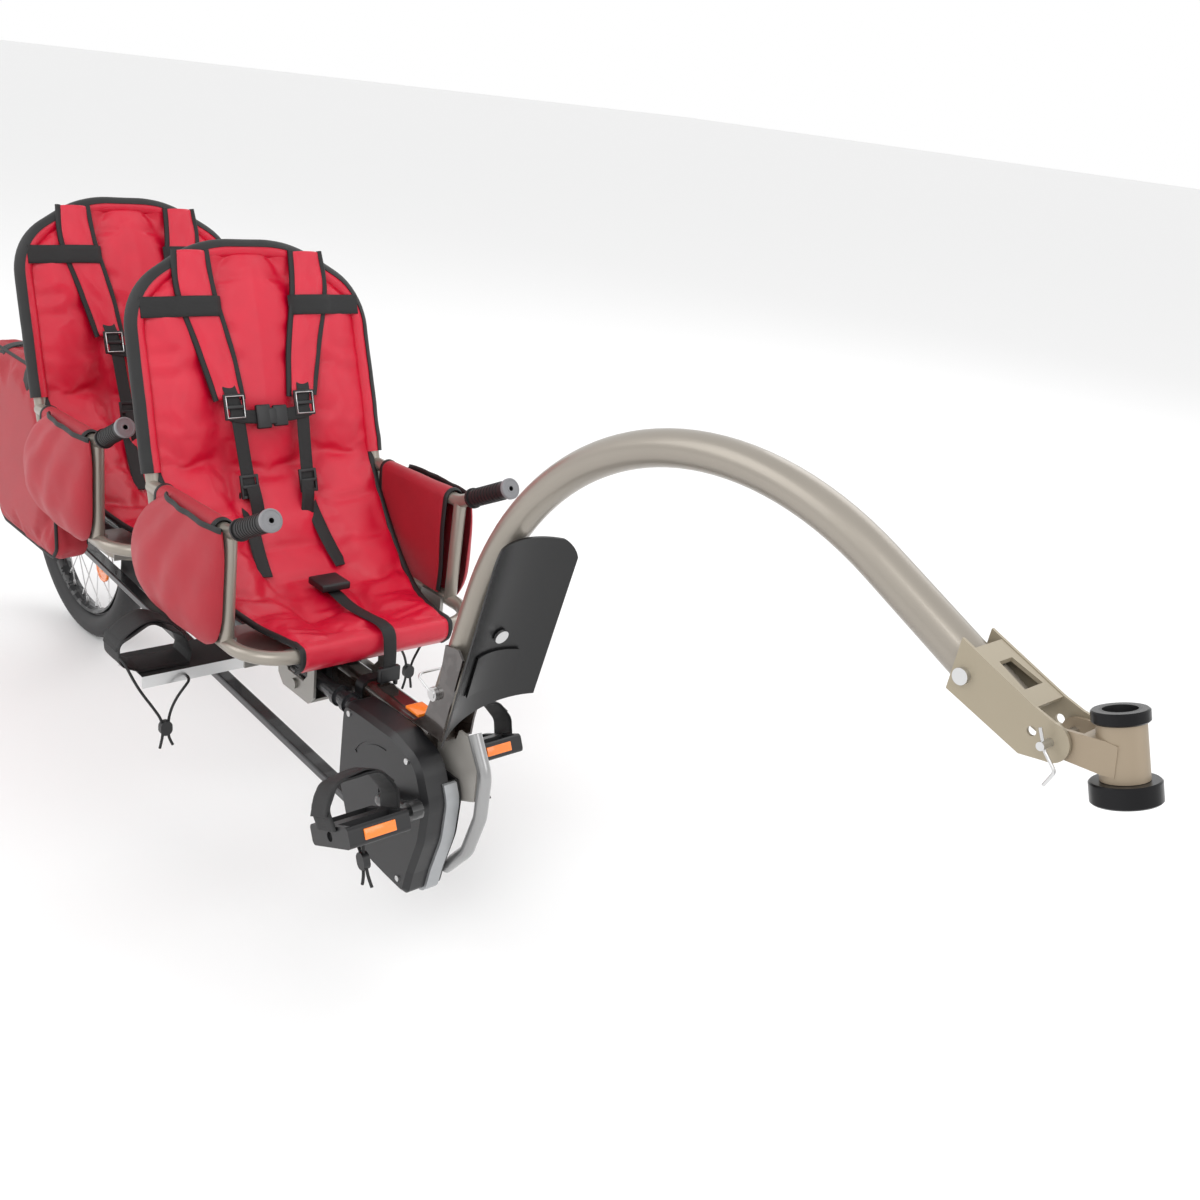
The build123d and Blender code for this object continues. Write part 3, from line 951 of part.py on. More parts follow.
# Side panels: cloth folded over the armrest, a plain leaf inside and a sagging pocket outside
FOLD_IN, FOLD_OUT, FOLD_Y, LEAF_BACK, LEAF_LENGTH, LEAF_DROP, LEAF_LAP = 11, 14, 175.2, 752, 166, 140, 0.1
POCKET_IN = 189.5
POCKET = [(540, 786, 944, 6), (508, 728, 950, 14), (462, 690, 948, 24), (418, 688, 944, 26), (388, 716, 930, 16),
          (374, 752, 906, 6)]
with BuildPart() as side_panels:
    for hand in (-1, 1):
        along = Vector(POST_TOP_X - ARM_BACK[0], 0, POST_TOP_Z - ARM_BACK[2]).normalized()
        rise = (LEAF_BACK - ARM_BACK[0]) * along.Z / along.X
        fold = Plane(origin=at(LEAF_BACK, hand * FOLD_Y, ARM_BACK[2] + rise), x_dir=(0, hand, 0),
                     z_dir=along * hand)
        with BuildSketch(fold):
            Circle(FOLD_OUT)
            Circle(FOLD_IN, mode=Mode.SUBTRACT)
            with Locations((0, -FOLD_OUT)):
                Rectangle(2 * FOLD_OUT, 2 * FOLD_OUT, mode=Mode.SUBTRACT)
            for leaf in (-1, 1):
                with Locations((leaf * (FOLD_IN + FOLD_OUT) / 2, LEAF_LAP - LEAF_DROP / 2)):
                    Rectangle(FOLD_OUT - FOLD_IN, LEAF_DROP)
        extrude(amount=hand * LEAF_LENGTH)
    for hand in (-1, 1):
        # The pocket's sections, each with three soft folds
        for z, rear, front, bulge in POCKET:
            third = (front - rear) / 3
            with BuildSketch(level(z)):
                with BuildLine():
                    Line((rear, hand * POCKET_IN), (front, hand * POCKET_IN))
                    ThreePointArc((front, hand * POCKET_IN), (front - third / 2, hand * (POCKET_IN + 0.9 * bulge)),
                                  (front - third, hand * (POCKET_IN + bulge)))
                    ThreePointArc((front - third, hand * (POCKET_IN + bulge)),
                                  ((front + rear) / 2, hand * (POCKET_IN + bulge + 3)),
                                  (rear + third, hand * (POCKET_IN + bulge)))
                    ThreePointArc((rear + third, hand * (POCKET_IN + bulge)),
                                  (rear + third / 2, hand * (POCKET_IN + 0.9 * bulge)), (rear, hand * POCKET_IN))
                make_face()
        loft()
save_seat_piece(side_panels.part, "side_panels")

# Harness: two padded shoulder straps, chest band with its buckle, adjusters, and the crotch strap
PAD_OUT, PAD_SHEET, PAD_EDGE, WEB_SHEET = 13, 8, 3, 2.4
BAND, ADJUSTER, LOWER_STRAP, LADDER = (82, 221, 78, 28), (54, 82, 30, 34), (49, 20, 20, 88), (46, -30, 26, 34)
CHEST_STRAP, CHEST_BUCKLE, CHEST_BUCKLE_SHEET, CHEST_UP = (96, 20), (48, 36), 9, 66
PADS = [(296, 64, 110), (240, 60, 112), (160, 44, 92), (92, 36, 76)]
with BuildPart() as harness:
    for hand in (-1, 1):
        for up, inner, outer in PADS:
            with BuildSketch(Plane(origin=on_back(0, up, PAD_OUT), x_dir=(0, 1, 0), z_dir=BACK_UP)):
                with BuildLine():
                    Polyline((hand * inner, -PAD_EDGE), (hand * inner, 0), (hand * outer, 0),
                             (hand * outer, -PAD_EDGE))
                    ThreePointArc((hand * outer, -PAD_EDGE), (hand * (inner + outer) / 2, -PAD_SHEET),
                                  (hand * inner, -PAD_EDGE))
                make_face()
        loft()
    front_of_back = Plane(origin=on_back(0, 0, PAD_OUT + PAD_SHEET + 0.4), x_dir=(0, 1, 0), z_dir=back.z_dir)
    with BuildSketch(front_of_back):
        for hand in (-1, 1):
            for y, up, width, height in (BAND, ADJUSTER, LOWER_STRAP, LADDER):
                with Locations((hand * y, up)):
                    Rectangle(width, height)
        with Locations((0, CHEST_UP)):
            Rectangle(*CHEST_STRAP)
    extrude(amount=WEB_SHEET)
    with BuildSketch(front_of_back):
        with Locations((0, CHEST_UP)):
            RectangleRounded(*CHEST_BUCKLE, 8)
    extrude(amount=CHEST_BUCKLE_SHEET)
    # Crotch strap: from its buckle over the front edge, with a half buckle hanging
    with BuildSketch(side()):
        with BuildLine():
            FilletPolyline((888, 407), (924, 399), (1006, 407), (1027, 401), (1031.5, 374), (1031.5, 350), radius=8)
        trace(line_width=WEB_SHEET)
    extrude(amount=-20)
    with BuildSketch(side(10)):
        with Locations((1031, 343)):
            RectangleRounded(9, 20, 3)
    extrude(amount=16, both=True)
    with BuildSketch(side(10)):
        with Locations((870, 414)):
            RectangleRounded(42, 12, 4)
    extrude(amount=22, both=True)
save_seat_piece(harness.part, "harness")

# Seat clamp: a folded channel under the seat, cheeks with a U cut-out, and a block round the boom
CLAMP_BACK, CLAMP_FRONT, CHANNEL_TOP, CHANNEL_HALF, CHEEK_Y, CHEEK_FOOT = 856, 954, 368, 160, 56, 272
BLOCK_BACK, BLOCK_FRONT, BLOCK_HALF, BLOCK_TOP = 874, 935, 27.5, 342
with BuildPart() as seat_clamp:
    box((CLAMP_BACK, CLAMP_FRONT), (-CHANNEL_HALF, CHANNEL_HALF), (CHANNEL_TOP - 14, CHANNEL_TOP))
    box((CLAMP_BACK + 3, CLAMP_FRONT - 3), (-CHANNEL_HALF - 1, CHANNEL_HALF + 1),
        (CHANNEL_TOP - 15, CHANNEL_TOP - 3),
        mode=Mode.SUBTRACT)
    for hand in (-1, 1):
        box((880, 930), (hand * (CHANNEL_HALF - 0.5), hand * 164.9), (CHANNEL_TOP - 3, 388))
        with BuildSketch(side(hand * CHEEK_Y)):
            with BuildLine():
                Polyline((CLAMP_BACK, CHEEK_FOOT + 14), (CLAMP_BACK, CHANNEL_TOP - 2), (873, CHANNEL_TOP - 2),
                         (873, 312), (884, 300), (925, 300), (936, 312), (936, CHANNEL_TOP - 2),
                         (CLAMP_FRONT, CHANNEL_TOP - 2), (CLAMP_FRONT, CHEEK_FOOT + 14), (CLAMP_FRONT - 14,
                                                                                          CHEEK_FOOT),
                         (CLAMP_BACK + 14, CHEEK_FOOT), close=True)
            make_face()
        extrude(amount=1.8, both=True)
    box((CLAMP_BACK + 14, CLAMP_FRONT - 14), (-CHEEK_Y - 1.8, CHEEK_Y + 1.8), (CHEEK_FOOT, CHEEK_FOOT + 4))
    for x, y in ((885, -12), (925, 12)):
        rod(at(x, y, CHEEK_FOOT - 12), at(x, y, CHEEK_FOOT), 5)
    for hand in (-1, 1):
        rod(at(904, hand * 57.8, 288), at(904, hand * 62, 288), 7.5)
save_seat_piece(seat_clamp.part, "seat_clamp")

SLIDE_GAP = 0.4
with BuildPart() as clamp_block:
    box((BLOCK_BACK, BLOCK_FRONT), (-BLOCK_HALF, BLOCK_HALF), (CHEEK_FOOT + 4, BLOCK_TOP))
    with BuildSketch(across(BLOCK_BACK - 1)):
        with Locations((0, BOOM_Z)):
            RectangleRounded(BOOM_W + 2 * SLIDE_GAP, BOOM_H + 2 * SLIDE_GAP, BOOM_CORNER)
    extrude(amount=BLOCK_FRONT - BLOCK_BACK + 2, mode=Mode.SUBTRACT)
    # Pinch slots and the clamp's screws
    for hand in (-1, 1):
        rod(at((BLOCK_BACK + BLOCK_FRONT) / 2, hand * 22, BLOCK_TOP), at((BLOCK_BACK + BLOCK_FRONT) / 2, hand * 22,
            CHANNEL_TOP - 3), 5)
save_seat_piece(clamp_block.part, "clamp_block")

# Fasteners of the frame
with BuildPart() as frame_fasteners:
    for hand in (-1, 1):
        with BuildSketch(side(hand * 72)):
            with Locations((0, WHEEL_Z)):
                RegularPolygon(NUT_AF / 2, 6, major_radius=False)
                Circle(AXLE_R, mode=Mode.SUBTRACT)
        extrude(amount=-hand * NUT_H)
    for x, z in ((1194, 124), (1060, 300), (1196, 296)):
        with BuildSketch(side(CASE_RIGHT_Y - 0.1)):
            with Locations((x - 10, z + 8)):
                Circle(4)
        extrude(amount=2)
    rod(at(ARM_PIN[0], 30, ARM_PIN[1]), at(ARM_PIN[0], -30, ARM_PIN[1]), ARM_PIN_R)
    rod(at(ARM_PIN[0], -23.2, ARM_PIN[1]), at(ARM_PIN[0], -29, ARM_PIN[1]), 9)
    rod(at(ARM_PIN[0], 23.2, ARM_PIN[1]), at(ARM_PIN[0], 27, ARM_PIN[1]), 7)
    pipe([at(ARM_PIN[0], -28, ARM_PIN[1]), at(1148, -28, 400), at(1148, 28, 400), at(ARM_PIN[0], 28, ARM_PIN[1])],
         1.5, 10)
    rod(at(FLAP_SCREW_X + 3.2, 0, FLAP_SCREW_Z - 1), at(FLAP_SCREW_X + 6.5, 0, FLAP_SCREW_Z - 2), 9)
    for x in (REST_BACK + 22, REST_FRONT - 22):
        rod(at(x, 0, REST_TOP - REST_SHEET - 6), at(x, 0, REST_TOP - REST_SHEET), 6)
    rod(at(1870, -27, 708), at(1870, 27, 708), 4)
    for hand in (-1, 1):
        rod(at(1870, hand * (COUPLER_HALF + COUPLER_SHEET), 708), at(1870, hand * 27, 708), 7)
frame_fasteners.part.label = "frame_fasteners"
export_step(frame_fasteners.part, "parts/frame_fasteners.step")
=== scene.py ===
# %% [markdown]
# # A two-seat trailer bike
# The trailer hangs on a towing bike's seatpost by its curved arm. Its metal and plastic pieces come
# from the CAD frame with their places fixed. Here they get their finishes, and the cloth seats, bags,
# straps and cords are modelled around them.

from math import copysign, cos, pi, radians, sin, tan

import bmesh
import bpy
from mathutils import Matrix, Vector
from mathutils.kdtree import KDTree
from mathutils.noise import noise as noise_at


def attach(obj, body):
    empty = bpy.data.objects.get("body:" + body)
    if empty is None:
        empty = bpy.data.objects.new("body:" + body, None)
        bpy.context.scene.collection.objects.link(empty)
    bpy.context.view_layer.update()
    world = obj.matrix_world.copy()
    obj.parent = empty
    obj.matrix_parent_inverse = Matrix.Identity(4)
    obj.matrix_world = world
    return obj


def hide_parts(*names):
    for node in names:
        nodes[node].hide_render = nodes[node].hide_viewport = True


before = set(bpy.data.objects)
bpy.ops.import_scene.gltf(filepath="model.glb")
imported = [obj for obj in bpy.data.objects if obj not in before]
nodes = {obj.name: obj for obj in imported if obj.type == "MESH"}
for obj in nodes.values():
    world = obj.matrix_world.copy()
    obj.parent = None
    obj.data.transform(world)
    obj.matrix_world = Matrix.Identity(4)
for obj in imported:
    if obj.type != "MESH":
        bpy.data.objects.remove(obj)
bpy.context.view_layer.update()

# %% [markdown]
# ## Where things are
# The drawing gives stations: x from the wheel's axle, y from the middle, z from the ground, in
# millimetres. The frame's origin is the middle of the hitch sleeve, so one function moves a station
# into the frame, and every place below can be written as the drawing writes it.

# %% Stations to places
HITCH = Vector((1997, 0, 697))
MM = 0.001
SEAT_SPACING = 420


def at(x, y, z):
    """The place of a station, in metres."""
    return (Vector((x, y, z)) - HITCH) * MM


print("the hitch is", HITCH.x, "mm in front of the axle and", HITCH.z, "mm over the ground")

# %% [markdown]
# ## The camera
# A long object seen from close in front shows strong perspective, so the view only matches when the
# camera stands where the photographer stood: by the hitch, on the trailer's right, looking back along it.

# %% Camera
CAMERA_STATION = (2342.5, -875.5, 1099.7)
CAMERA_RIGHT = Vector((0.65332, 0.74806, 0.11655))
CAMERA_DOWN = Vector((0.34926, -0.16122, -0.92305))
FIELD_OF_VIEW = radians(49.85)

view_axes = Matrix((CAMERA_RIGHT, -CAMERA_DOWN, -CAMERA_RIGHT.cross(CAMERA_DOWN))).transposed()
camera = bpy.data.objects.new("camera", bpy.data.cameras.new("camera"))
bpy.context.scene.collection.objects.link(camera)
camera.matrix_world = Matrix.Translation(at(*CAMERA_STATION)) @ view_axes.to_4x4()
camera.data.sensor_fit = "HORIZONTAL"
camera.data.angle = FIELD_OF_VIEW
camera.data.clip_start = 0.02
bpy.context.scene.camera = camera
print("camera at", [round(v, 3) for v in camera.matrix_world.translation])

# %% [markdown]
# ## Floor and light
# A wide pale floor and soft lamps show glossy nylon and satin paint without hard shadows. The world is
# plain white at a strength of 1, so it is the backdrop, and it fills the shadows evenly.

# %% Floor
MIDDLE = Vector((-1, 0, 0))
FLOOR_Z, FLOOR_GAP, FLOOR_HALF = -HITCH.z * MM, 0.0005, 60
scene = bpy.context.scene
scene.view_settings.view_transform = "Standard"

floor_shape = bmesh.new()
bmesh.ops.create_grid(floor_shape, x_segments=1, y_segments=1, size=FLOOR_HALF)
bmesh.ops.translate(floor_shape, verts=floor_shape.verts, vec=(MIDDLE.x, 0, FLOOR_Z - FLOOR_GAP))
floor_mesh = bpy.data.meshes.new("floor")
floor_shape.to_mesh(floor_mesh)
floor_shape.free()
floor = bpy.data.objects.new("floor", floor_mesh)
scene.collection.objects.link(floor)
floor_paint = bpy.data.materials.new("floor_pale")
floor_paint.use_nodes = True
floor_shader = floor_paint.node_tree.nodes["Principled BSDF"]
floor_shader.inputs["Base Color"].default_value = (0.86, 0.86, 0.86, 1)
floor_shader.inputs["Roughness"].default_value = 0.7
floor_mesh.materials.append(floor_paint)
print("floor at", round(FLOOR_Z, 3), "m")

# %% Lamps, each with its place round the trailer's middle, its width and its power, and the world
WHITE = (1, 1, 1, 1)
AIM = MIDDLE + Vector((0, 0, -0.2))
LAMPS = [("key", (2.6, -3.4, 3.4), 3.0, 85), ("side", (-2.6, -3.6, 2.6), 3.4, 62),
         ("far", (-1.0, 3.8, 2.8), 3.0, 38), ("front", (4.2, 1.2, 2.0), 2.4, 34)]
for name, place, size, power in LAMPS:
    lamp = bpy.data.lights.new(name, "AREA")
    lamp.size = size
    lamp.energy = power
    holder = bpy.data.objects.new(name, lamp)
    holder.location = MIDDLE + Vector(place)
    holder.rotation_euler = (AIM - holder.location).to_track_quat("-Z", "Y").to_euler()
    scene.collection.objects.link(holder)

world = bpy.data.worlds.new("studio")
scene.world = world
world.use_nodes = True
sky = world.node_tree.nodes["Background"]
sky.inputs["Color"].default_value = WHITE
sky.inputs["Strength"].default_value = 1.0
print(len(LAMPS), "lamps and a white world")

# %% [markdown]
# ## Effects that finishes share
# Paint, plastic, rubber and cloth all vary a little over the surface. Each effect is one node group
# with named sockets, made once, so a change to the grain or the weave reaches every finish that has it.


# %% A small kit for node groups
FLOAT, COLOUR = "NodeSocketFloat", "NodeSocketColor"


def new_group(title, inputs, outputs):
    """An empty shader group, with the sockets that it is given and those that it gives."""
    tree = bpy.data.node_groups.new(title, "ShaderNodeTree")
    for name, kind, value in inputs:
        tree.interface.new_socket(name, in_out="INPUT", socket_type=kind).default_value = value
    for name, kind in outputs:
        tree.interface.new_socket(name, in_out="OUTPUT", socket_type=kind)
    return tree, tree.nodes.new("NodeGroupInput").outputs, tree.nodes.new("NodeGroupOutput").inputs


def feed(tree, socket, value):
    """Give a socket a number, or a link from another socket."""
    if isinstance(value, (int, float)):
        socket.default_value = value
    else:
        tree.links.new(value, socket)


def math_node(tree, operation, first, second):
    """A math node; each side is a number or a socket."""
    node = tree.nodes.new("ShaderNodeMath")
    node.operation = operation
    feed(tree, node.inputs[0], first)
    feed(tree, node.inputs[1], second)
    return node.outputs[0]


def object_place(tree):
    """The place on a piece, in its own Object coordinates."""
    return tree.nodes.new("ShaderNodeTexCoord").outputs["Object"]


def noise(tree, scale, detail=3):
    """Noise over a piece; scale is a number or a socket."""
    texture = tree.nodes.new("ShaderNodeTexNoise")
    texture.inputs["Detail"].default_value = detail
    tree.links.new(object_place(tree), texture.inputs["Vector"])
    feed(tree, texture.inputs["Scale"], scale)
    return texture.outputs["Fac"]


def varied(tree, base, pattern, amount):
    """A value that a pattern moves up and down by half the amount."""
    change = math_node(tree, "MULTIPLY", math_node(tree, "SUBTRACT", pattern, 0.5), amount)
    return math_node(tree, "ADD", change, base)


def clouded(tree, colour, pattern, amount):
    """A colour that a pattern makes lighter and darker."""
    shade = tree.nodes.new("ShaderNodeHueSaturation")
    tree.links.new(varied(tree, 1.0, pattern, amount), shade.inputs["Value"])
    tree.links.new(colour, shade.inputs["Color"])
    return shade.outputs[0]


# %% Grain: cloudy colour, uneven gloss and a fine rough height
CLOUD_SCALE = 9.0
grain, grain_in, grain_out = new_group(
    "grain", [("Colour", COLOUR, WHITE), ("Clouds", FLOAT, 0.15), ("Roughness", FLOAT, 0.4),
              ("Spread", FLOAT, 0.1), ("Scale", FLOAT, 400.0)],
    [("Colour", COLOUR), ("Roughness", FLOAT), ("Height", FLOAT)])
cloud = noise(grain, CLOUD_SCALE)
grain.links.new(clouded(grain, grain_in["Colour"], cloud, grain_in["Clouds"]), grain_out["Colour"])
grain.links.new(varied(grain, grain_in["Roughness"], cloud, grain_in["Spread"]), grain_out["Roughness"])
grain.links.new(noise(grain, grain_in["Scale"], 2), grain_out["Height"])
print("grain has", len(grain.nodes), "nodes")

# %% Edge wear: corners rub bare, in patches
CORNER_FROM, CORNER_TO, PATCH_SCALE = 0.53, 0.62, 60.0
wear, wear_in, wear_out = new_group(
    "edge wear", [("Colour", COLOUR, WHITE), ("Bare", COLOUR, WHITE), ("Amount", FLOAT, 0.3)],
    [("Colour", COLOUR), ("Mask", FLOAT)])
corners = wear.nodes.new("ShaderNodeMapRange")
corners.inputs["From Min"].default_value = CORNER_FROM
corners.inputs["From Max"].default_value = CORNER_TO
wear.links.new(wear.nodes.new("ShaderNodeNewGeometry").outputs["Pointiness"], corners.inputs["Value"])
patches = math_node(wear, "GREATER_THAN", noise(wear, PATCH_SCALE, 5), 0.5)
worn = math_node(wear, "MULTIPLY", corners.outputs[0], patches)
mask = math_node(wear, "MULTIPLY", worn, wear_in["Amount"])
rubbed = wear.nodes.new("ShaderNodeMix")
rubbed.data_type = "RGBA"
wear.links.new(mask, rubbed.inputs["Factor"])
wear.links.new(wear_in["Colour"], rubbed.inputs["A"])
wear.links.new(wear_in["Bare"], rubbed.inputs["B"])
wear.links.new(rubbed.outputs["Result"], wear_out["Colour"])
wear.links.new(mask, wear_out["Mask"])
print("edge wear has", len(wear.nodes), "nodes")

# %% Weave: two thread directions that cross in the height, and threads of slightly uneven colour
THREAD_SLANT, FULL_TURN, THREAD_PATCHES = 0.7, 6.28, 24.0
weave, weave_in, weave_out = new_group(
    "weave", [("Colour", COLOUR, WHITE), ("Threads", FLOAT, 900.0), ("Unevenness", FLOAT, 0.2)],
    [("Colour", COLOUR), ("Height", FLOAT)])
split = weave.nodes.new("ShaderNodeSeparateXYZ")
weave.links.new(object_place(weave), split.inputs[0])
turns = math_node(weave, "MULTIPLY", weave_in["Threads"], FULL_TURN)
slanted = math_node(weave, "MULTIPLY", split.outputs["Y"], THREAD_SLANT)
waves = []
for way in ("X", "Z"):
    phase = math_node(weave, "MULTIPLY", math_node(weave, "ADD", split.outputs[way], slanted), turns)
    waves.append(math_node(weave, "SINE", phase, 0.0))
weave.links.new(math_node(weave, "MULTIPLY", *waves), weave_out["Height"])
threads_shade = clouded(weave, weave_in["Colour"], noise(weave, THREAD_PATCHES, 4), weave_in["Unevenness"])
weave.links.new(threads_shade, weave_out["Colour"])
print("weave has", len(weave.nodes), "nodes")

# %% [markdown]
# ## Finishes
# A finish is one material with a group or two in front of its Principled shader. Values that are the
# same all over, such as coat or sheen, sit on the shader itself.


# %% One function for each family of finish
def start_material(name, **shader_values):
    """A material whose shader has these values, with its tree and shader."""
    material = bpy.data.materials.new(name)
    material.use_nodes = True
    shader = material.node_tree.nodes["Principled BSDF"]
    for socket, value in shader_values.items():
        shader.inputs[socket.replace("_", " ")].default_value = value
    return material, material.node_tree, shader


def place_group(tree, group, **values):
    """A group node in a material, with its values set."""
    node = tree.nodes.new("ShaderNodeGroup")
    node.node_tree = group
    for socket, value in values.items():
        node.inputs[socket].default_value = value
    return node


def bump(tree, shader, height, distance, strength=1.0):
    """A Bump node from a height to the shader's normal; distance in metres."""
    node = tree.nodes.new("ShaderNodeBump")
    node.inputs["Distance"].default_value = distance
    node.inputs["Strength"].default_value = strength
    tree.links.new(height, node.inputs["Height"])
    tree.links.new(node.outputs[0], shader.inputs["Normal"])


def hard_finish(name, colour, roughness, clouds=0.12, spread=0.12, scale=700.0, depth=0.00002, bare=None,
                amount=0.5, **shader_values):
    """Paint, plastic or metal: grain, and edge wear where a bare colour is given."""
    material, tree, shader = start_material(name, **shader_values)
    skin = place_group(tree, grain, Colour=(*colour, 1), Clouds=clouds, Roughness=roughness, Spread=spread,
                       Scale=scale)
    colour_out = skin.outputs["Colour"]
    if bare:
        rub = place_group(tree, wear, Bare=(*bare, 1), Amount=amount)
        tree.links.new(colour_out, rub.inputs["Colour"])
        colour_out = rub.outputs["Colour"]
    tree.links.new(colour_out, shader.inputs["Base Color"])
    tree.links.new(skin.outputs["Roughness"], shader.inputs["Roughness"])
    bump(tree, shader, skin.outputs["Height"], depth)
    return material


def cloth_finish(name, colour, roughness, threads=900.0, unevenness=0.25, depth=0.00012, **shader_values):
    """Woven cloth: threads in the height, and slow colour changes."""
    material, tree, shader = start_material(name, Roughness=roughness, **shader_values)
    threads_node = place_group(tree, weave, Colour=(*colour, 1), Threads=threads, Unevenness=unevenness)
    tree.links.new(threads_node.outputs["Colour"], shader.inputs["Base Color"])
    bump(tree, shader, threads_node.outputs["Height"], depth, 0.6)
    return material


# %% The finishes, by what they cover
champagne = hard_finish("champagne_paint", (0.31, 0.28, 0.24), 0.36, Metallic=0.6, Coat_Weight=0.3)
pale_paint = hard_finish("pale_paint", (0.42, 0.4, 0.37), 0.4, Metallic=0.4, Coat_Weight=0.2)
boom_gloss = hard_finish("boom_gloss", (0.022, 0.014, 0.011), 0.16, bare=(0.2, 0.18, 0.17), amount=0.15,
                         Metallic=0.3, Coat_Weight=1.0, Coat_Roughness=0.06)
hoop_grey = hard_finish("hoop_grey", (0.33, 0.33, 0.33), 0.3, Metallic=0.7, Coat_Weight=0.4)
case_plastic = hard_finish("case_plastic", (0.008, 0.008, 0.009), 0.36, scale=1500.0, depth=0.00004)
small_plastic = hard_finish("small_plastic", (0.009, 0.009, 0.01), 0.42, scale=1800.0, depth=0.00003)
# The seam strip's pale grey is partly a painted highlight: it stands for light along the chain case's front
# rim, where the two black halves meet at a seam.
seam_grey = hard_finish("seam_grey", (0.36, 0.37, 0.38), 0.32, Metallic=0.5)
tube_plastic = hard_finish("tube_plastic", (0.02, 0.02, 0.022), 0.24, Coat_Weight=0.3)
flap_plastic = hard_finish("flap_plastic", (0.006, 0.006, 0.0065), 0.38, scale=1200.0, depth=0.00005)
black_paint = hard_finish("black_paint", (0.01, 0.01, 0.0105), 0.3, bare=(0.3, 0.3, 0.3), amount=0.2,
                          Coat_Weight=0.5)
collar_black = hard_finish("collar_black", (0.015, 0.015, 0.016), 0.28, Metallic=0.8)
hitch_beige = hard_finish("hitch_beige", (0.33, 0.285, 0.21), 0.42, Metallic=0.35)
lug_tan = hard_finish("lug_tan", (0.3, 0.24, 0.17), 0.42, Metallic=0.3)
zinc = hard_finish("zinc_steel", (0.6, 0.6, 0.6), 0.3, clouds=0.25, spread=0.25, Metallic=1.0)
alloy = hard_finish("brushed_alloy", (0.72, 0.72, 0.72), 0.34, clouds=0.15, spread=0.2, Metallic=1.0)
rim_black = hard_finish("rim_black", (0.016, 0.016, 0.017), 0.3, bare=(0.4, 0.4, 0.4), Metallic=0.6)
grip_rubber = hard_finish("grip_rubber", (0.009, 0.009, 0.0095), 0.5, scale=3000.0, depth=0.00008)
cap_grey = hard_finish("cap_grey", (0.2, 0.2, 0.21), 0.4)
clamp_grey = hard_finish("clamp_grey", (0.3, 0.29, 0.27), 0.35, Metallic=0.75, Coat_Weight=0.2)
nylon = cloth_finish("red_sling", (0.6, 0.002, 0.028), 0.3, threads=1100.0, Coat_Weight=0.15)
panel_cloth = cloth_finish("red_panel", (0.34, 0.002, 0.014), 0.55, threads=800.0, Sheen_Weight=0.05)
bag_cloth = cloth_finish("bag_cloth", (0.33, 0.003, 0.014), 0.55, threads=800.0, Sheen_Weight=0.05)
webbing = cloth_finish("black_webbing", (0.005, 0.005, 0.0055), 0.6, threads=450.0, depth=0.0003)
binding = cloth_finish("black_binding", (0.004, 0.004, 0.0045), 0.55, threads=600.0)
cord_cloth = cloth_finish("elastic_cord", (0.006, 0.006, 0.0065), 0.6, threads=700.0)
print(len(bpy.data.materials), "materials")

# %% The footrest: bare alloy, with a black non-slip top
FOOTREST_TOP = 282.8
TOP_VALUES = (("Base Color", (0.012, 0.012, 0.012, 1)), ("Roughness", 0.75), ("Metallic", 0.0))
footrest_finish = alloy.copy()
footrest_finish.name = "footrest_top"
tree = footrest_finish.node_tree
shader = tree.nodes["Principled BSDF"]
split = tree.nodes.new("ShaderNodeSeparateXYZ")
tree.links.new(object_place(tree), split.inputs[0])
on_top = math_node(tree, "GREATER_THAN", split.outputs["Z"], at(0, 0, FOOTREST_TOP).z)
for name, top_value in TOP_VALUES:
    choice = tree.nodes.new("ShaderNodeMix")
    choice.data_type = "RGBA" if name == "Base Color" else "FLOAT"
    ends = [socket for socket in choice.inputs if socket.enabled]
    tree.links.new(on_top, ends[0])
    if shader.inputs[name].is_linked:
        tree.links.new(shader.inputs[name].links[0].from_socket, ends[1])
    else:
        ends[1].default_value = shader.inputs[name].default_value
    ends[2].default_value = top_value
    tree.links.new(next(socket for socket in choice.outputs if socket.enabled), shader.inputs[name])
print(footrest_finish.name, len(tree.nodes), "nodes")


# %% Dress the CAD nodes
def dress(material, *names):
    """Give a CAD node's slots this finish."""
    for name in names:
        for material_slot in nodes[name].material_slots:
            material_slot.material = material


SEATS = (("front", 0), ("rear", -SEAT_SPACING))
dress(boom_gloss, "boom_rear", "boom_front")
dress(champagne, "tow_arm", "rear_fork")
dress(pale_paint, "crank_hanger")
dress(hoop_grey, "guard_hoop")
dress(case_plastic, "chain_case_right", "chain_case_left")
dress(small_plastic, "boom_collar", "seatpost_bushing", "footrest_locks", "toe_lock_right", "toe_lock_left",
      "pedal_cage_right", "pedal_cage_left")
# The seam strip's grey is partly a painted highlight on the case's front rim.
dress(seam_grey, "case_seam_strip")
dress(tube_plastic, "chain_tubes")
dress(flap_plastic, "mudflap")
dress(black_paint, "luggage_rack", "crank")
dress(collar_black, "seatpost_collars")
dress(hitch_beige, "hitch_plates")
dress(lug_tan, "receiver")
dress(zinc, "frame_fasteners", "wheel_axle", "drive_chain", "crank_bearings", "spokes", "hub_bearings",
      "freewheel_cog", "chainring", "hitch_pin")
dress(alloy, "hub")
dress(footrest_finish, "footrest")
dress(rim_black, "rim")
dress(webbing, "footrest_straps", "foot_strap_right", "foot_strap_left")
for seat, _ in SEATS:
    dress(champagne, f"{seat}_seat_frame", f"{seat}_back_hoop")
    dress(grip_rubber, f"{seat}_grips")
    dress(clamp_grey, f"{seat}_seat_clamp")
    # Each clamp block is black plastic round the boom inside the clamp's channel. Its dark front face also
    # stands as painted shade for the channel's shaded inside.
    dress(small_plastic, f"{seat}_clamp_block")
    dress(nylon, f"{seat}_sling")
    dress(panel_cloth, f"{seat}_side_panels")
    dress(webbing, f"{seat}_harness")
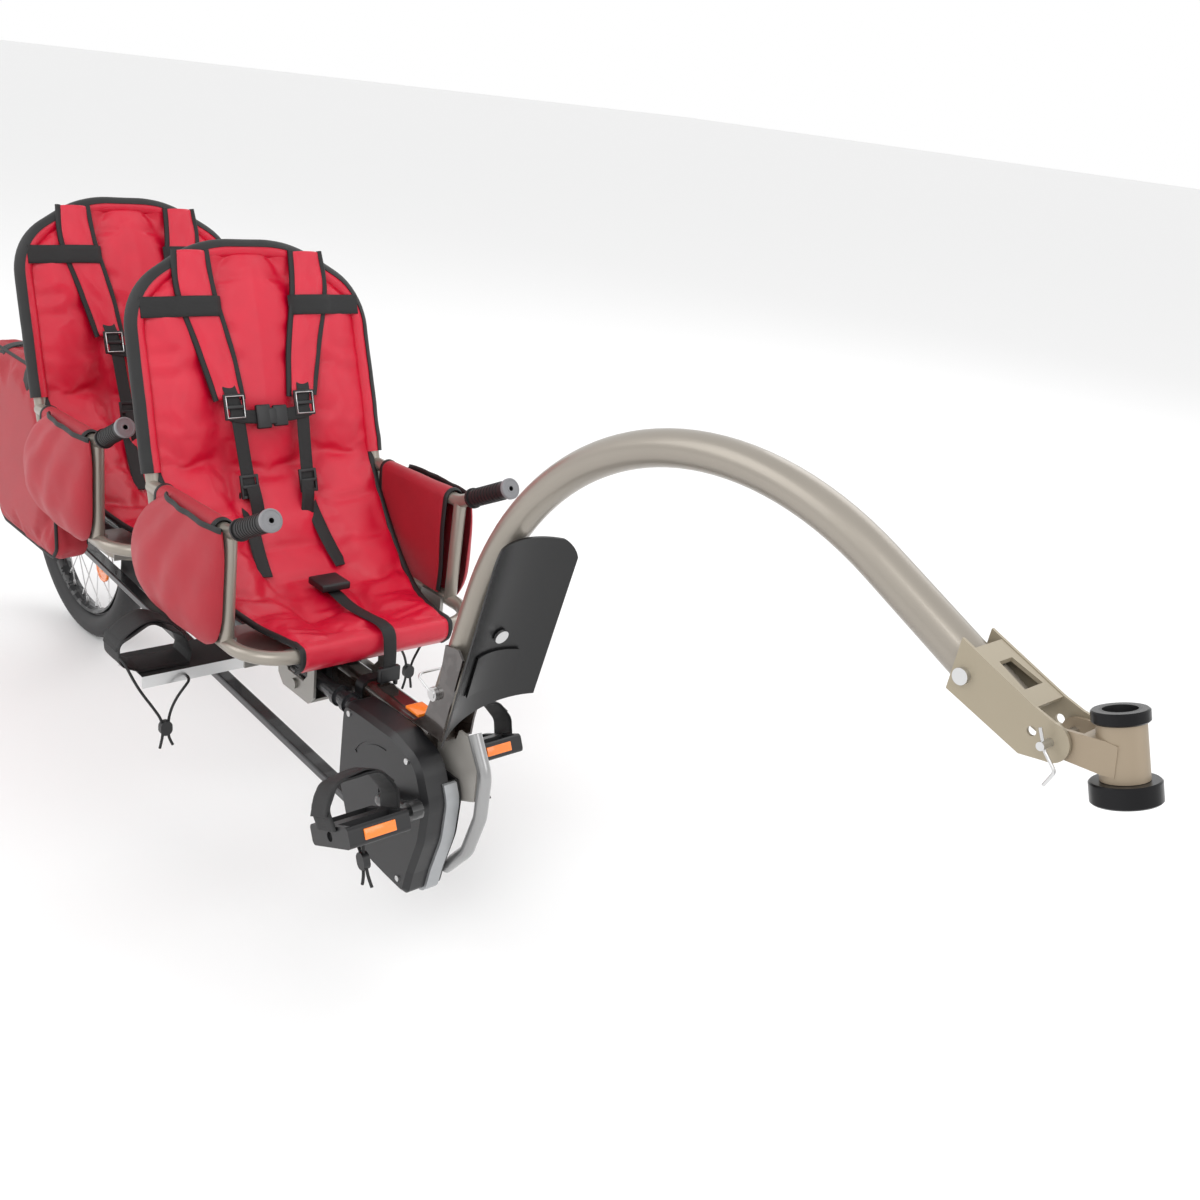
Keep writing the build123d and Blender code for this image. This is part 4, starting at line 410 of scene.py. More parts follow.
dress(bag_cloth, "panniers")
print(len(nodes), "CAD nodes")

# %% [markdown]
# ## The elastic cords
# Four thin elastic cords draw the foot straps tight. Each has two strands that meet in a spring lock
# and end in short tails. A limp cord hangs in one smooth curve, so a strand is a NURBS spline over the
# route that its tube follows.

# %% Cord strands
CORD_DIAMETER = 0.004


def strand(node, number, route, body, length):
    """A strand of the cord that a CAD node holds the place of, as one open spline over a route."""
    name = f"{node}_strand_{number + 1}"
    curve = bpy.data.curves.new(name, "CURVE")
    curve.dimensions = "3D"
    spline = curve.splines.new("NURBS")
    spline.points.add(len(route) - 1)
    for point, spot in zip(spline.points, route):
        point.co = (*spot, 1)
    spline.order_u = 3
    spline.use_endpoint_u = True
    spline.resolution_u = 6
    curve.bevel_depth = CORD_DIAMETER / 2
    curve.bevel_resolution = 3
    curve.use_fill_caps = True
    curve.materials.append(cord_cloth)
    cord = bpy.data.objects.new(name, curve)
    scene.collection.objects.link(cord)
    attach(cord, body)
    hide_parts(node)
    print(name, length, "m")


# %% The footrest's cords: a strand from its outside and one from its inside, which meet in the lock
REST_CORD = [(776, 251, 312), (790, 251, 312), (800, 248, 300), (803, 241, 283), (803, 231, 264),
             (803, 218, 243), (803, 204, 218)]
REST_CORD_BACK = [(786, 161, 271), (797, 161, 271), (802, 171, 264), (803, 182, 252), (803, 191, 236),
                  (803, 196, 218)]
REST_TAILS = [[(803, 204, 196), (803, 206, 186), (802, 208, 176)],
              [(803, 196, 196), (803, 194, 187), (804, 190, 178)]]
REST_LENGTHS = (0.155, 0.115)
for hand, side_name in ((-1, "right"), (1, "left")):
    for number, (route, tail) in enumerate(zip((REST_CORD, REST_CORD_BACK), REST_TAILS)):
        spots = [at(x, hand * y, z) for x, y, z in route + tail]
        strand(f"footrest_cord_{side_name}", number, spots, "frame", REST_LENGTHS[number])

# %% The pedals, and the cords that draw their straps tight
CRANK, CRANK_LENGTH, CRANK_TILT = (1148, 235), 89, radians(19)
PEDAL_TILT, PEDAL_Y = radians(25), 152
PEDALS = []
for hand, side_name in ((-1, "right"), (1, "left")):
    centre = at(CRANK[0] - hand * CRANK_LENGTH * cos(CRANK_TILT), hand * PEDAL_Y,
                CRANK[1] - hand * CRANK_LENGTH * sin(CRANK_TILT))
    PEDALS.append((side_name, centre, Vector((cos(PEDAL_TILT), 0, sin(PEDAL_TILT))),
                   Vector((-sin(PEDAL_TILT), 0, cos(PEDAL_TILT)))))

TOE_ROUTES = [[(-15, -13), (-15, -19), (-13.5, -25), (-11, -30), (-12, -52), (-15, -62), (-21, -71)],
              [(-1, -13), (-1, -19), (-2.5, -25), (-5, -30), (-4, -52), (-3, -63), (1, -73)]]
TOE_LENGTHS = (0.061, 0.062)
for side_name, centre, along, up in PEDALS:
    for number, route in enumerate(TOE_ROUTES):
        spots = [centre + (along * a + up * b) * MM for a, b in route]
        strand(f"toe_cord_{side_name}", number, spots, f"pedal_{side_name}", TOE_LENGTHS[number])

# %% [markdown]
# ## Tools for sewn and moulded pieces
# A strap, a hem and a piping are one section carried along a route. A buckle is a few bevelled blocks.
# A cap is a turned profile. Sections and sizes are in millimetres, and routes are places in the frame.

# %% Routes
ACROSS = Vector((0, 1, 0))


def rounded(points, radii, steps=8):
    """A route through the points, with its corners rounded to these radii."""
    route = [points[0]]
    for before, corner, after, radius in zip(points, points[1:], points[2:], radii):
        back_way, on_way = (before - corner).normalized(), (after - corner).normalized()
        half_angle = back_way.angle(on_way) / 2
        centre = corner + (back_way + on_way).normalized() * radius * MM / sin(half_angle)
        start = corner + back_way * radius * MM / tan(half_angle) - centre
        end = corner + on_way * radius * MM / tan(half_angle) - centre
        route += [centre + start.lerp(end, k / steps).normalized() * radius * MM for k in range(steps + 1)]
    return route + [points[-1]]


def softened(points, rounds=3):
    """A route with its corners cut a few times, as webbing bends."""
    for _ in range(rounds):
        cut = [points[0]]
        for start, end in zip(points, points[1:]):
            cut += [start.lerp(end, 0.25), start.lerp(end, 0.75)]
        points = cut + [points[-1]]
    return points


def spaced(route, step):
    """The same route with a place every few millimetres."""
    made = [route[0]]
    for start, end in zip(route, route[1:]):
        count = max(1, round((end - start).length / (step * MM)))
        made += [start.lerp(end, k / count) for k in range(1, count + 1)]
    return made


def smooth_rows(rows, steps):
    """Rows of numbers with smooth ones between them."""
    made = []
    for i in range(len(rows) - 1):
        near = (rows[max(i - 1, 0)], rows[i], rows[i + 1], rows[min(i + 2, len(rows) - 1)])
        for k in range(steps):
            t = k / steps
            made.append([(2 * b + (c - a) * t + (2 * a - 5 * b + 4 * c - d) * t ** 2
                          + (3 * b - a - 3 * c + d) * t ** 3) / 2 for a, b, c, d in zip(*near)])
    return made + [list(rows[-1])]


# %% Sections and shapes
def round_section(radius, sides=10, flatten=1.0):
    """A round or oval section."""
    turns = [2 * pi * k / sides for k in range(sides)]
    return [(radius * cos(turn), flatten * radius * sin(turn)) for turn in turns]


def flat_section(width, thickness, columns=4):
    """A strap's section, with softened edges."""
    half, lip = width / 2, thickness / 2
    lower = [(-half + lip + (width - thickness) * k / columns, -lip) for k in range(columns + 1)]
    return [(-half, 0), *lower, (half, 0), *[(a, lip) for a, _ in reversed(lower)]]


def sweep(shape, route, section, side_way, closed=False):
    """Carry a section along a route. Its first axis keeps to side_way."""
    rings = []
    for number, spot in enumerate(route):
        if closed:
            ahead = route[(number + 1) % len(route)] - route[number - 1]
        else:
            ahead = route[min(number + 1, len(route) - 1)] - route[max(number - 1, 0)]
        ahead.normalize()
        top = ahead.cross(side_way).normalized()
        side = top.cross(ahead)
        rings.append([shape.verts.new(spot + (side * a + top * b) * MM) for a, b in section])
    for first, second in zip(rings, rings[1:] + rings[:1] if closed else rings[1:]):
        for k in range(len(section)):
            shape.faces.new((first[k - 1], first[k], second[k], second[k - 1]))
    if not closed:
        shape.faces.new(rings[0])
        shape.faces.new(reversed(rings[-1]))


def block(shape, axes, centre, size, bevel):
    """A bevelled block in a turned frame."""
    made = bmesh.ops.create_cube(shape, size=1, matrix=axes @ Matrix.Translation(Vector(centre) * MM)
                                 @ Matrix.Diagonal((*(Vector(size) * MM), 1)))
    edges = list({edge for vert in made["verts"] for edge in vert.link_edges})
    bmesh.ops.bevel(shape, geom=edges, offset=bevel * MM, segments=3, profile=0.5, affect="EDGES",
                    material=-1)


def turned(shape, origin, axis, profile, sides=40):
    """Turn a profile of (radius, height) round an axis. It is a closed loop, or starts on the axis."""
    side = axis.orthogonal().normalized()
    other = axis.cross(side)
    rings = [[shape.verts.new(origin + (axis * height + (side * cos(2 * pi * k / sides)
                                                         + other * sin(2 * pi * k / sides)) * radius) * MM)
              for k in range(sides)] for radius, height in profile]
    for first, second in zip(rings, rings[1:] if profile[0][0] == 0 else rings[1:] + rings[:1]):
        for k in range(sides):
            shape.faces.new((first[k - 1], first[k], second[k], second[k - 1]))
    bmesh.ops.remove_doubles(shape, verts=shape.verts, dist=1e-7)


def ruffle(shape, amount, size, way):
    """Move a sheet to and fro by slow noise, as slack cloth lies."""
    for vert in shape.verts:
        vert.co += way * amount * MM * noise_at(vert.co / (size * MM))


# %% From shape to piece
def make_mesh(name, shape, sharp=50):
    """Close a shape's normals outwards and make it a smooth mesh with its sharp edges kept."""
    bmesh.ops.recalc_face_normals(shape, faces=shape.faces)
    mesh = bpy.data.meshes.new(name)
    shape.to_mesh(mesh)
    shape.free()
    mesh.shade_smooth()
    mesh.set_sharp_from_angle(angle=radians(sharp))
    return mesh


def place_piece(name, mesh, body, finish, replaced=None, levels=0):
    """Put a mesh in the scene as a piece that rides on a body."""
    piece = bpy.data.objects.new(name, mesh)
    scene.collection.objects.link(piece)
    mesh.materials.clear()
    mesh.materials.append(finish)
    if levels:
        smoothing = piece.modifiers.new("smooth", "SUBSURF")
        smoothing.levels = smoothing.render_levels = levels
    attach(piece, body)
    if replaced:
        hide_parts(replaced)
    print(name, len(mesh.polygons), "faces")
    return piece


def seat_pair(name, mesh, finish, replaced=None, levels=0):
    """One mesh on the front seat, and again further back on the rear seat."""
    pair = []
    for seat, shift in SEATS:
        copy = mesh.copy()
        copy.transform(Matrix.Translation((shift * MM, 0, 0)))
        pair.append(place_piece(f"{seat}_{name}", copy, f"{seat}_seat", finish,
                                replaced and f"{seat}_{replaced}", levels))
    return pair


# %% Air in a cloth shape
BLOWN_FRAMES = 20


def inflate(mesh, pins, cap, pressure=4.0, growth=0.05):
    """Fill a cloth shape with air between its pinned seams. No point moves further than the cap."""
    trial = bpy.data.objects.new("trial", mesh)
    scene.collection.objects.link(trial)
    trial.vertex_groups.new(name="pins").add(pins, 1.0, "REPLACE")
    cloth = trial.modifiers.new("cloth", "CLOTH")
    cloth.settings.vertex_group_mass = "pins"
    cloth.settings.use_pressure = True
    cloth.settings.uniform_pressure_force = pressure
    cloth.settings.shrink_min = -growth
    cloth.settings.effector_weights.gravity = 0
    cloth.settings.bending_stiffness = 0.05
    cloth.point_cache.frame_end = BLOWN_FRAMES
    for step in range(1, BLOWN_FRAMES + 1):
        scene.frame_set(step)
    blown = trial.evaluated_get(bpy.context.evaluated_depsgraph_get()).data
    for vert, moved in zip(mesh.vertices, [v.co.copy() for v in blown.vertices]):
        offset = moved - vert.co
        vert.co += offset * min(1, cap * MM / max(offset.length, 1e-9))
    bpy.data.objects.remove(trial)
    scene.frame_set(1)
    mesh.update()


# %% [markdown]
# ## The slings
# Each seat is one cloth from the hoop's top down the back and over the seat to its front tube. Two
# long seams part it into a middle and two bolsters. The cloth is stitched to its back along the seams,
# so air pressure between them makes the soft channels and their small creases.

# %% The reclined back
BACK_ORIGIN, RECLINE = (707, 0, 543), radians(17.1)
BACK_UP = Vector((-sin(RECLINE), 0, cos(RECLINE)))
BACK_OUT = Vector((cos(RECLINE), 0, sin(RECLINE)))
BACK_AXES = Matrix.Translation(at(*BACK_ORIGIN)) @ Matrix((ACROSS, BACK_UP, BACK_OUT)).transposed().to_4x4()


def on_back(y, up, out=0.0):
    """A place on the back: y to the left, up from its lower corners, out in front of it."""
    return BACK_AXES @ (Vector((y, up, out)) * MM)


# %% The sling's surface. A row has x, z, its heading, half its width, its edges' rise and its thickness.
SEAM, HUMP, THICK, BACK_HEADING = 0.41, 5, 8, -72.9
ROW_STEPS, SIDE_STEPS, MIDDLE_STEPS = 8, 9, 7
SEAT_ROWS = [(733, 488, -58, 159, 24, 8), (786, 432, -42, 154, 24, 8), (848, 394, -18, 146, 20, 8),
             (915, 383, 0, 130, 14, 8), (970, 389, 8, 118, 7, 6), (1004, 396.2, 8, 112, 1, 3)]
back_rows = []
for up, half, rise in ((296, 70, 0), (262, 122, 0), (222, 158, 0), (150, 166, 2), (60, 168, 7), (4, 168, 16)):
    place = on_back(0, up, 4 - rise) / MM + HITCH
    back_rows.append((place.x, place.z, BACK_HEADING, half, rise, THICK))
SLING_ROWS = smooth_rows(back_rows + SEAT_ROWS, ROW_STEPS)
SIDE_COLUMNS = [SEAM + (1 - SEAM) * k / SIDE_STEPS for k in range(1, SIDE_STEPS + 1)]
MIDDLE_COLUMNS = [SEAM * (k / MIDDLE_STEPS - 1) for k in range(2 * MIDDLE_STEPS + 1)]
COLUMNS = [-s for s in reversed(SIDE_COLUMNS)] + MIDDLE_COLUMNS + SIDE_COLUMNS
print(len(SLING_ROWS), "rows and", len(COLUMNS), "columns")


def on_sling(row, share, lift=0.0, under=False):
    """A place on the sling: a row, a share of the half width, and a height over the cloth."""
    x, z, heading, half, rise, thickness = row
    inside = 1 - (share / SEAM) ** 2 if abs(share) < SEAM else \
        1 - ((abs(share) - (1 + SEAM) / 2) / ((1 - SEAM) / 2)) ** 2
    height = rise * share ** 2 + (-thickness if under else HUMP * inside * thickness / THICK) + lift
    turn = radians(heading)
    return at(x - sin(turn) * height, share * half, z + cos(turn) * height)


# %% The sling as two skins, closed at their edges
shape = bmesh.new()
skins = [[[shape.verts.new(on_sling(row, s, 0, under)) for s in COLUMNS] for row in SLING_ROWS]
         for under in (False, True)]
over, below = skins
for r in range(len(SLING_ROWS) - 1):
    for k in range(len(COLUMNS) - 1):
        for skin in skins:
            shape.faces.new((skin[r][k], skin[r][k + 1], skin[r + 1][k + 1], skin[r + 1][k]))
    for k in (0, -1):
        shape.faces.new((over[r][k], over[r + 1][k], below[r + 1][k], below[r][k]))
for end in (0, -1):
    for k in range(len(COLUMNS) - 1):
        shape.faces.new((over[end][k], over[end][k + 1], below[end][k + 1], below[end][k]))
shape.verts.index_update()
print(len(shape.verts), "points")

# %% The sling, blown up between its seams
SLING_FILL = 8
stitched_columns = (0, SIDE_STEPS, len(COLUMNS) - 1 - SIDE_STEPS, len(COLUMNS) - 1)
stitched_rows = (0, 1, len(SLING_ROWS) - 2, len(SLING_ROWS) - 1)
pins = [skin[r][k].index for skin in skins for r in range(len(SLING_ROWS))
        for k in range(len(COLUMNS)) if k in stitched_columns or r in stitched_rows]
sling_mesh = make_mesh("sling", shape)
inflate(sling_mesh, pins, SLING_FILL)
for sling in seat_pair("sling_cloth", sling_mesh, nylon, "sling", levels=1):
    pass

# %% [markdown]
# ## Sleeve, bindings and hem
# The cloth is sewn into a sleeve round the hoop's tube and a hem round the seat's front tube, and black
# binding covers the raw edges. Each is a section carried along its seam, and slow noise slackens it.

# %% The sleeve round the hoop
SLEEVE_R, SLEEVE_SLACK = 12.6, (1.4, 22)
HOOP = [(-174, 2), (-174, 20), (-170, 238), (-66, 300), (66, 300), (170, 238), (174, 20), (174, 2)]
hoop_route = spaced(rounded([on_back(y, up) for y, up in HOOP], [200, 85, 150, 150, 85, 200], 10), 9)
shape = bmesh.new()
sweep(shape, hoop_route, round_section(SLEEVE_R, 20), BACK_OUT)
ruffle(shape, *SLEEVE_SLACK, BACK_OUT)
seat_pair("hoop_sleeve", make_mesh("sleeve", shape), nylon)

# %% Black binding along the sleeve's outer side
BINDING_ARC = [radians(a) for a in range(-30, 81, 10)]
BINDING_OUTER, BINDING_INNER = 14.2, 12.4
binding_section = [(radius * sin(a), -radius * cos(a)) for radius, arc in
                   ((BINDING_OUTER, BINDING_ARC), (BINDING_INNER, BINDING_ARC[::-1])) for a in arc]
shape = bmesh.new()
sweep(shape, hoop_route, binding_section, BACK_OUT)
ruffle(shape, *SLEEVE_SLACK, BACK_OUT)
seat_pair("hoop_binding", make_mesh("hoop_binding", shape), binding)

# %% Binding along the seat's edges
FIRST_SEAT_ROW = (len(back_rows) - 1) * ROW_STEPS
shape = bmesh.new()
for hand in (-1, 1):
    edge = [on_sling(row, hand * 1.0, -2) for row in SLING_ROWS[FIRST_SEAT_ROW:]]
    sweep(shape, edge, round_section(5, 10, 0.8), ACROSS)
seat_pair("edge_binding", make_mesh("edge_binding", shape), binding)

# %% The hem round the front tube
HEM_HALF = 112
HEM = [at(996, 0, 397), at(1006, 0, 396.6), at(1020.5, 0, 395.5), at(1020.5, 0, 372), at(1004, 0, 358)]
hem_route = spaced(softened(HEM), 3)
shape = bmesh.new()
sweep(shape, hem_route, flat_section(2 * HEM_HALF, 2.6, 26), ACROSS)
ruffle(shape, 1.0, 26, Vector((0.7, 0, 0.7)))
seat_pair("front_hem", make_mesh("hem", shape), nylon)
shape = bmesh.new()
for hand in (-1, 1):
    hem_edge = [spot + ACROSS * hand * (HEM_HALF + 1) * MM for spot in hem_route]
    sweep(shape, hem_edge, flat_section(9, 4.6), ACROSS)
seat_pair("hem_binding", make_mesh("hem_binding", shape), binding)

# %% [markdown]
# ## Side panels and pockets
# A cloth folds over each armrest and hangs down on both sides, and a slack pocket is sewn to its outside.

# %% Where a panel folds over its armrest
ARM_Y, ARM_BACK, ARM_POST = 175.2, (711, 176, 528), (939, 174.5, 536)
PANEL_BACK, PANEL_LENGTH, PANEL_DROP, FOLD_R, FOLD_STEPS = 752, 166, 140, 12.6, 12
FOLD_RISE = (ARM_POST[2] - ARM_BACK[2]) / (ARM_POST[0] - ARM_BACK[0])
ALONG_ARM = Vector((1, 0, FOLD_RISE)).normalized()
panel_middle = PANEL_BACK + PANEL_LENGTH / 2
fold_z = ARM_BACK[2] + FOLD_RISE * (panel_middle - ARM_BACK[0])

# %% Panels and their bound ends
panels, panel_bind = bmesh.new(), bmesh.new()
for hand in (-1, 1):
    profile = [(ARM_Y - FOLD_R, fold_z - PANEL_DROP)]
    profile += [(ARM_Y - FOLD_R * cos(pi * k / FOLD_STEPS), fold_z + FOLD_R * sin(pi * k / FOLD_STEPS))
                for k in range(FOLD_STEPS + 1)]
    profile.append((ARM_Y + FOLD_R, fold_z - PANEL_DROP))
    route = spaced([at(panel_middle, hand * y, z) for y, z in profile], 8)
    sweep(panels, route, flat_section(PANEL_LENGTH, 2.4, 18), ALONG_ARM)
    for end in (-1, 1):
        bound = [spot + ALONG_ARM * end * PANEL_LENGTH / 2 * MM for spot in route]
        sweep(panel_bind, bound, flat_section(9, 4.4), ALONG_ARM)
for shape in (panels, panel_bind):
    ruffle(shape, 3.0, 60, ACROSS)
panel_mesh = make_mesh("panels", panels)
for seat_number, panel in enumerate(seat_pair("panels", panel_mesh, panel_cloth, "side_panels")):
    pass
seat_pair("panel_binding", make_mesh("panel_binding", panel_bind), binding)

# %% A pocket's levels, from the mouth down: z, its rear and front edge, and how far it bulges
POCKET_IN, POCKET_WALL, POCKET_TOP, POCKET_STEPS = 189.5, 2.0, 541, 40
POCKET_FOLDS, FOLD_DEPTH, FOLD_SLANT, CREASE = 3, 0.09, 260, 2.2
POCKET = [(541, 786, 944, 9), (508, 728, 950, 15), (462, 690, 948, 24), (418, 688, 944, 26),
          (388, 716, 930, 16),
          (374, 752, 906, 4)]
POCKET_ROWS = smooth_rows(POCKET, 6)


def pocket_level(hand, row):
    """One level of a pocket, with its swell, its soft folds and its small creases."""
    z, rear, front, bulge = row
    level = []
    for k in range(POCKET_STEPS + 1):
        share = k / POCKET_STEPS
        swell = (1 - abs(2 * share - 1) ** 3) ** 0.6
        fold = FOLD_DEPTH * sin(2 * pi * (POCKET_FOLDS * share + (POCKET_TOP - z) / FOLD_SLANT)) * swell
        crease = CREASE * noise_at(Vector((share * 7, z / 30, hand)))
        out = POCKET_IN + bulge * (swell + fold) + crease * swell
        level.append(at(rear + (front - rear) * share, hand * out, z))
    return level


# %% Pockets: an outer and an inner skin, joined round their rim, with a bound mouth
last_row, last = len(POCKET_ROWS) - 1, POCKET_STEPS
rim = [(r, 0) for r in range(last_row + 1)] + [(last_row, k) for k in range(1, last + 1)]
rim += [(r, last) for r in range(last_row - 1, -1, -1)] + [(0, k) for k in range(last - 1, 0, -1)]
pockets, mouth = bmesh.new(), bmesh.new()
for hand in (-1, 1):
    levels = [pocket_level(hand, row) for row in POCKET_ROWS]
    outer, inner = skins = [[[pockets.verts.new(spot - ACROSS * hand * depth * MM) for spot in level]
                             for level in levels] for depth in (0, POCKET_WALL)]
    for skin in skins:
        for first, second in zip(skin, skin[1:]):
            for k in range(POCKET_STEPS):
                pockets.faces.new((first[k], first[k + 1], second[k + 1], second[k]))
    for (r, k), (s, m) in zip(rim, rim[1:] + rim[:1]):
        pockets.faces.new((outer[r][k], outer[s][m], inner[s][m], inner[r][k]))
    lip = [spot - ACROSS * hand * POCKET_WALL / 2 * MM for spot in levels[0]]
    sweep(mouth, lip, flat_section(9, 4.6), Vector((0, 0, 1)))
pocket_mesh = make_mesh("pockets", pockets)
for pocket in seat_pair("pockets", pocket_mesh, panel_cloth):
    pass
seat_pair("pocket_binding", make_mesh("pocket_binding", mouth), binding)

# %% [markdown]
# ## The harness
# Two padded shoulder straps with black edges come down from the hoop. Webbing goes on through an
# adjuster and a ladder lock on each side, a chest strap joins them, and a strap comes up between the legs.

# %% Shoulder pads
PAD_FOOT, PAD_CROWN, PAD_UNDER, CROWN_STEPS = 15.5, 5.5, 13, 8
PAD_ROWS = smooth_rows([(297, 64, 110), (240, 60, 112), (160, 44, 92), (92, 36, 76)], 10)
pads, pad_edges = bmesh.new(), bmesh.new()
for hand in (-1, 1):
    rings = []
    for number, (up, inner, outer) in enumerate(PAD_ROWS):
        width = outer - inner
        crown = [(hand * (inner + width * k / CROWN_STEPS),
                  PAD_FOOT + PAD_CROWN * (1 - (2 * k / CROWN_STEPS - 1) ** 2) ** 0.7
                  + 0.5 * sin(number * 0.9 + k)) for k in range(CROWN_STEPS + 1)]
        around = crown + [(hand * outer, PAD_UNDER), (hand * inner, PAD_UNDER)]
        rings.append([pads.verts.new(on_back(y, up, out)) for y, out in around])
    for first, second in zip(rings, rings[1:]):
        for k in range(len(first)):
            pads.faces.new((first[k - 1], first[k], second[k], second[k - 1]))
    pads.faces.new(rings[0])
    pads.faces.new(reversed(rings[-1]))
    for column in (1, 2):
        edge = [on_back(hand * row[column], row[0], 15.4) for row in PAD_ROWS]
        sweep(pad_edges, edge, round_section(4.4, 10, 0.75), ACROSS)
for pad in seat_pair("shoulder_pads", make_mesh("pads", pads, 80), nylon, "harness", levels=1):
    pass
seat_pair("pad_binding", make_mesh("pad_binding", pad_edges), binding)

# %% Webbing across the shoulders and down to the seat. On the back, a place is y, up and out.
BAND = ((166, 221, 13), (150, 221, 14), (121, 221, 16), (110, 221, 22.6), (62, 221, 22.8), (52, 221, 15))
UPPER = ((58, 118, 17), (56, 100, 23), (53, 84, 24), (50, 60, 23), (48, 10, 22.6), (46, -30, 24),
         (46, -48, 23))
FALL = ((45, 47, 4), (50, 50, 2.4), (56, 56, 2), (60, 60, 2))
TAIL = ((43, -30, 28), (41, -50, 30), (38, -76, 26))
CHEST = ((-62, 72, 24.4), (-40, 67, 24.4), (0, 66, 24.4), (40, 67, 24.4), (62, 72, 24.4))
straps = bmesh.new()
for hand in (-1, 1):
    band, upper, tail = [[on_back(hand * y, up, out) for y, up, out in way] for way in (BAND, UPPER, TAIL)]
    fall = [on_sling(SLING_ROWS[number], hand * y / SLING_ROWS[number][3], lift) for number, y, lift in FALL]
    sweep(straps, spaced(softened(band, 2), 6), flat_section(28, 1.8), BACK_UP)
    sweep(straps, spaced(softened(upper + fall, 2), 6), flat_section(20, 1.8), ACROSS)
    sweep(straps, spaced(softened(tail, 2), 5), flat_section(20, 1.6), ACROSS)
chest = [on_back(*spot) for spot in CHEST]
sweep(straps, spaced(softened(chest, 2), 6), flat_section(19, 1.8), BACK_UP)

# %% The strap between the legs, which hangs over the seat's front edge
LEGS_Y = 10
LEGS = ((846, 404), (880, 407), (924, 399.5), (975, 403), (1006, 407), (1027, 402), (1031.5, 376),
        (1031.5, 350))
legs = [at(x, LEGS_Y, z) for x, z in LEGS]
sweep(straps, spaced(softened(legs, 2), 6), flat_section(20, 1.8), ACROSS)
seat_pair("webbing", make_mesh("webbing", straps), webbing)

# %% Adjusters with their wires, and ladder locks
LOCK_OUT, WIRE_OUT = 24.6, 27.2
ADJUSTER, LADDER_LOCK = (54, 82, 32, 36), (46, -30, 28, 34)
hard_bits, wire = bmesh.new(), bmesh.new()
for hand in (-1, 1):
    for y, up, width, height in (ADJUSTER, LADDER_LOCK):
        for end in (-1, 1):
            block(hard_bits, BACK_AXES, (hand * y + end * (width / 2 - 2), up, LOCK_OUT), (4, height, 4), 1.2)
        for rung in (-1, 0, 1):
            rung_place = (hand * y, up + rung * (height / 2 - 2.5), LOCK_OUT + 1.6 * (rung == 0))
            block(hard_bits, BACK_AXES, rung_place, (width - 4, 5, 3.4), 1.0)
    wire_route = [on_back(hand * ADJUSTER[0] + a, ADJUSTER[1] + b, WIRE_OUT)
                  for a, b in ((-13, -15), (13, -15), (13, 15), (-13, 15))]
    sweep(wire, wire_route, round_section(1.0, 8), BACK_OUT, closed=True)

# %% The chest buckle, and the two buckles of the strap between the legs
UPRIGHT = Matrix.Translation(at(0, 0, 0))
for y, width, height, thick in ((-13, 22, 34, 8), (13, 22, 30, 7), (0, 14, 24, 8.6)):
    block(hard_bits, BACK_AXES, (y, 66, 25.4), (width, height, thick), 2.4)
LEG_BUCKLES = (((870, 414.5), (42, 44, 11), (12, 0), (16, 5, 7)),
               ((1031, 342), (9, 32, 22), (0, -12), (6, 5, 12)))
for (x, z), size, (prong_x, prong_z), prong_size in LEG_BUCKLES:
    block(hard_bits, UPRIGHT, (x, LEGS_Y, z), size, 2.6)
    for hand in (-1, 1):
        prong_y = LEGS_Y + hand * (size[1] / 2 - 5)
        block(hard_bits, UPRIGHT, (x + prong_x, prong_y, z + prong_z), prong_size, 1.5)
seat_pair("buckles", make_mesh("buckles", hard_bits, 35), small_plastic)
seat_pair("adjuster_wires", make_mesh("wires", wire), zinc)

# %% [markdown]
# ## The panniers
# The bags hang on the rack's sides. Their cloth is stitched along the piping and lies flat on the rack,
# and the rest is filled a little, so it bulges and creases.

# %% A copy of the bags with one even skin
VOXEL = 0.008
bag_object = nodes["panniers"].copy()
bag_object.data = nodes["panniers"].data.copy()
scene.collection.objects.link(bag_object)
bag_object.hide_render = bag_object.hide_viewport = False
remesh = bag_object.modifiers.new("voxels", "REMESH")
remesh.voxel_size = VOXEL
bag_mesh = bpy.data.meshes.new_from_object(bag_object.evaluated_get(bpy.context.evaluated_depsgraph_get()))
bpy.data.objects.remove(bag_object)
print(len(bag_mesh.vertices), "points")

# %% The seams, a little inside the bags' outline
OUTLINE = [(-44, 250), (-52, 566), (212, 566), (238, 520), (240, 262), (222, 242), (-20, 236)]
BAG_MIDDLE, BAG_INSET, BAG_CORNER = (95, 400), 4, 20
BAG_INNER_Y, BAG_OUTER_Y = 90, 144
corners = OUTLINE + OUTLINE[:2]
seams = []
for hand in (-1, 1):
    for y in (BAG_INNER_Y, BAG_OUTER_Y - BAG_INSET):
        drawn_in = [at(x - copysign(BAG_INSET, x - BAG_MIDDLE[0]), hand * y,
                       z - copysign(BAG_INSET, z - BAG_MIDDLE[1])) for x, z in corners]
        seams.append(spaced(rounded(drawn_in, [BAG_CORNER] * (len(corners) - 2), 6)[1:-1], 8))
print(sum(len(seam) for seam in seams), "places along", len(seams), "seams")

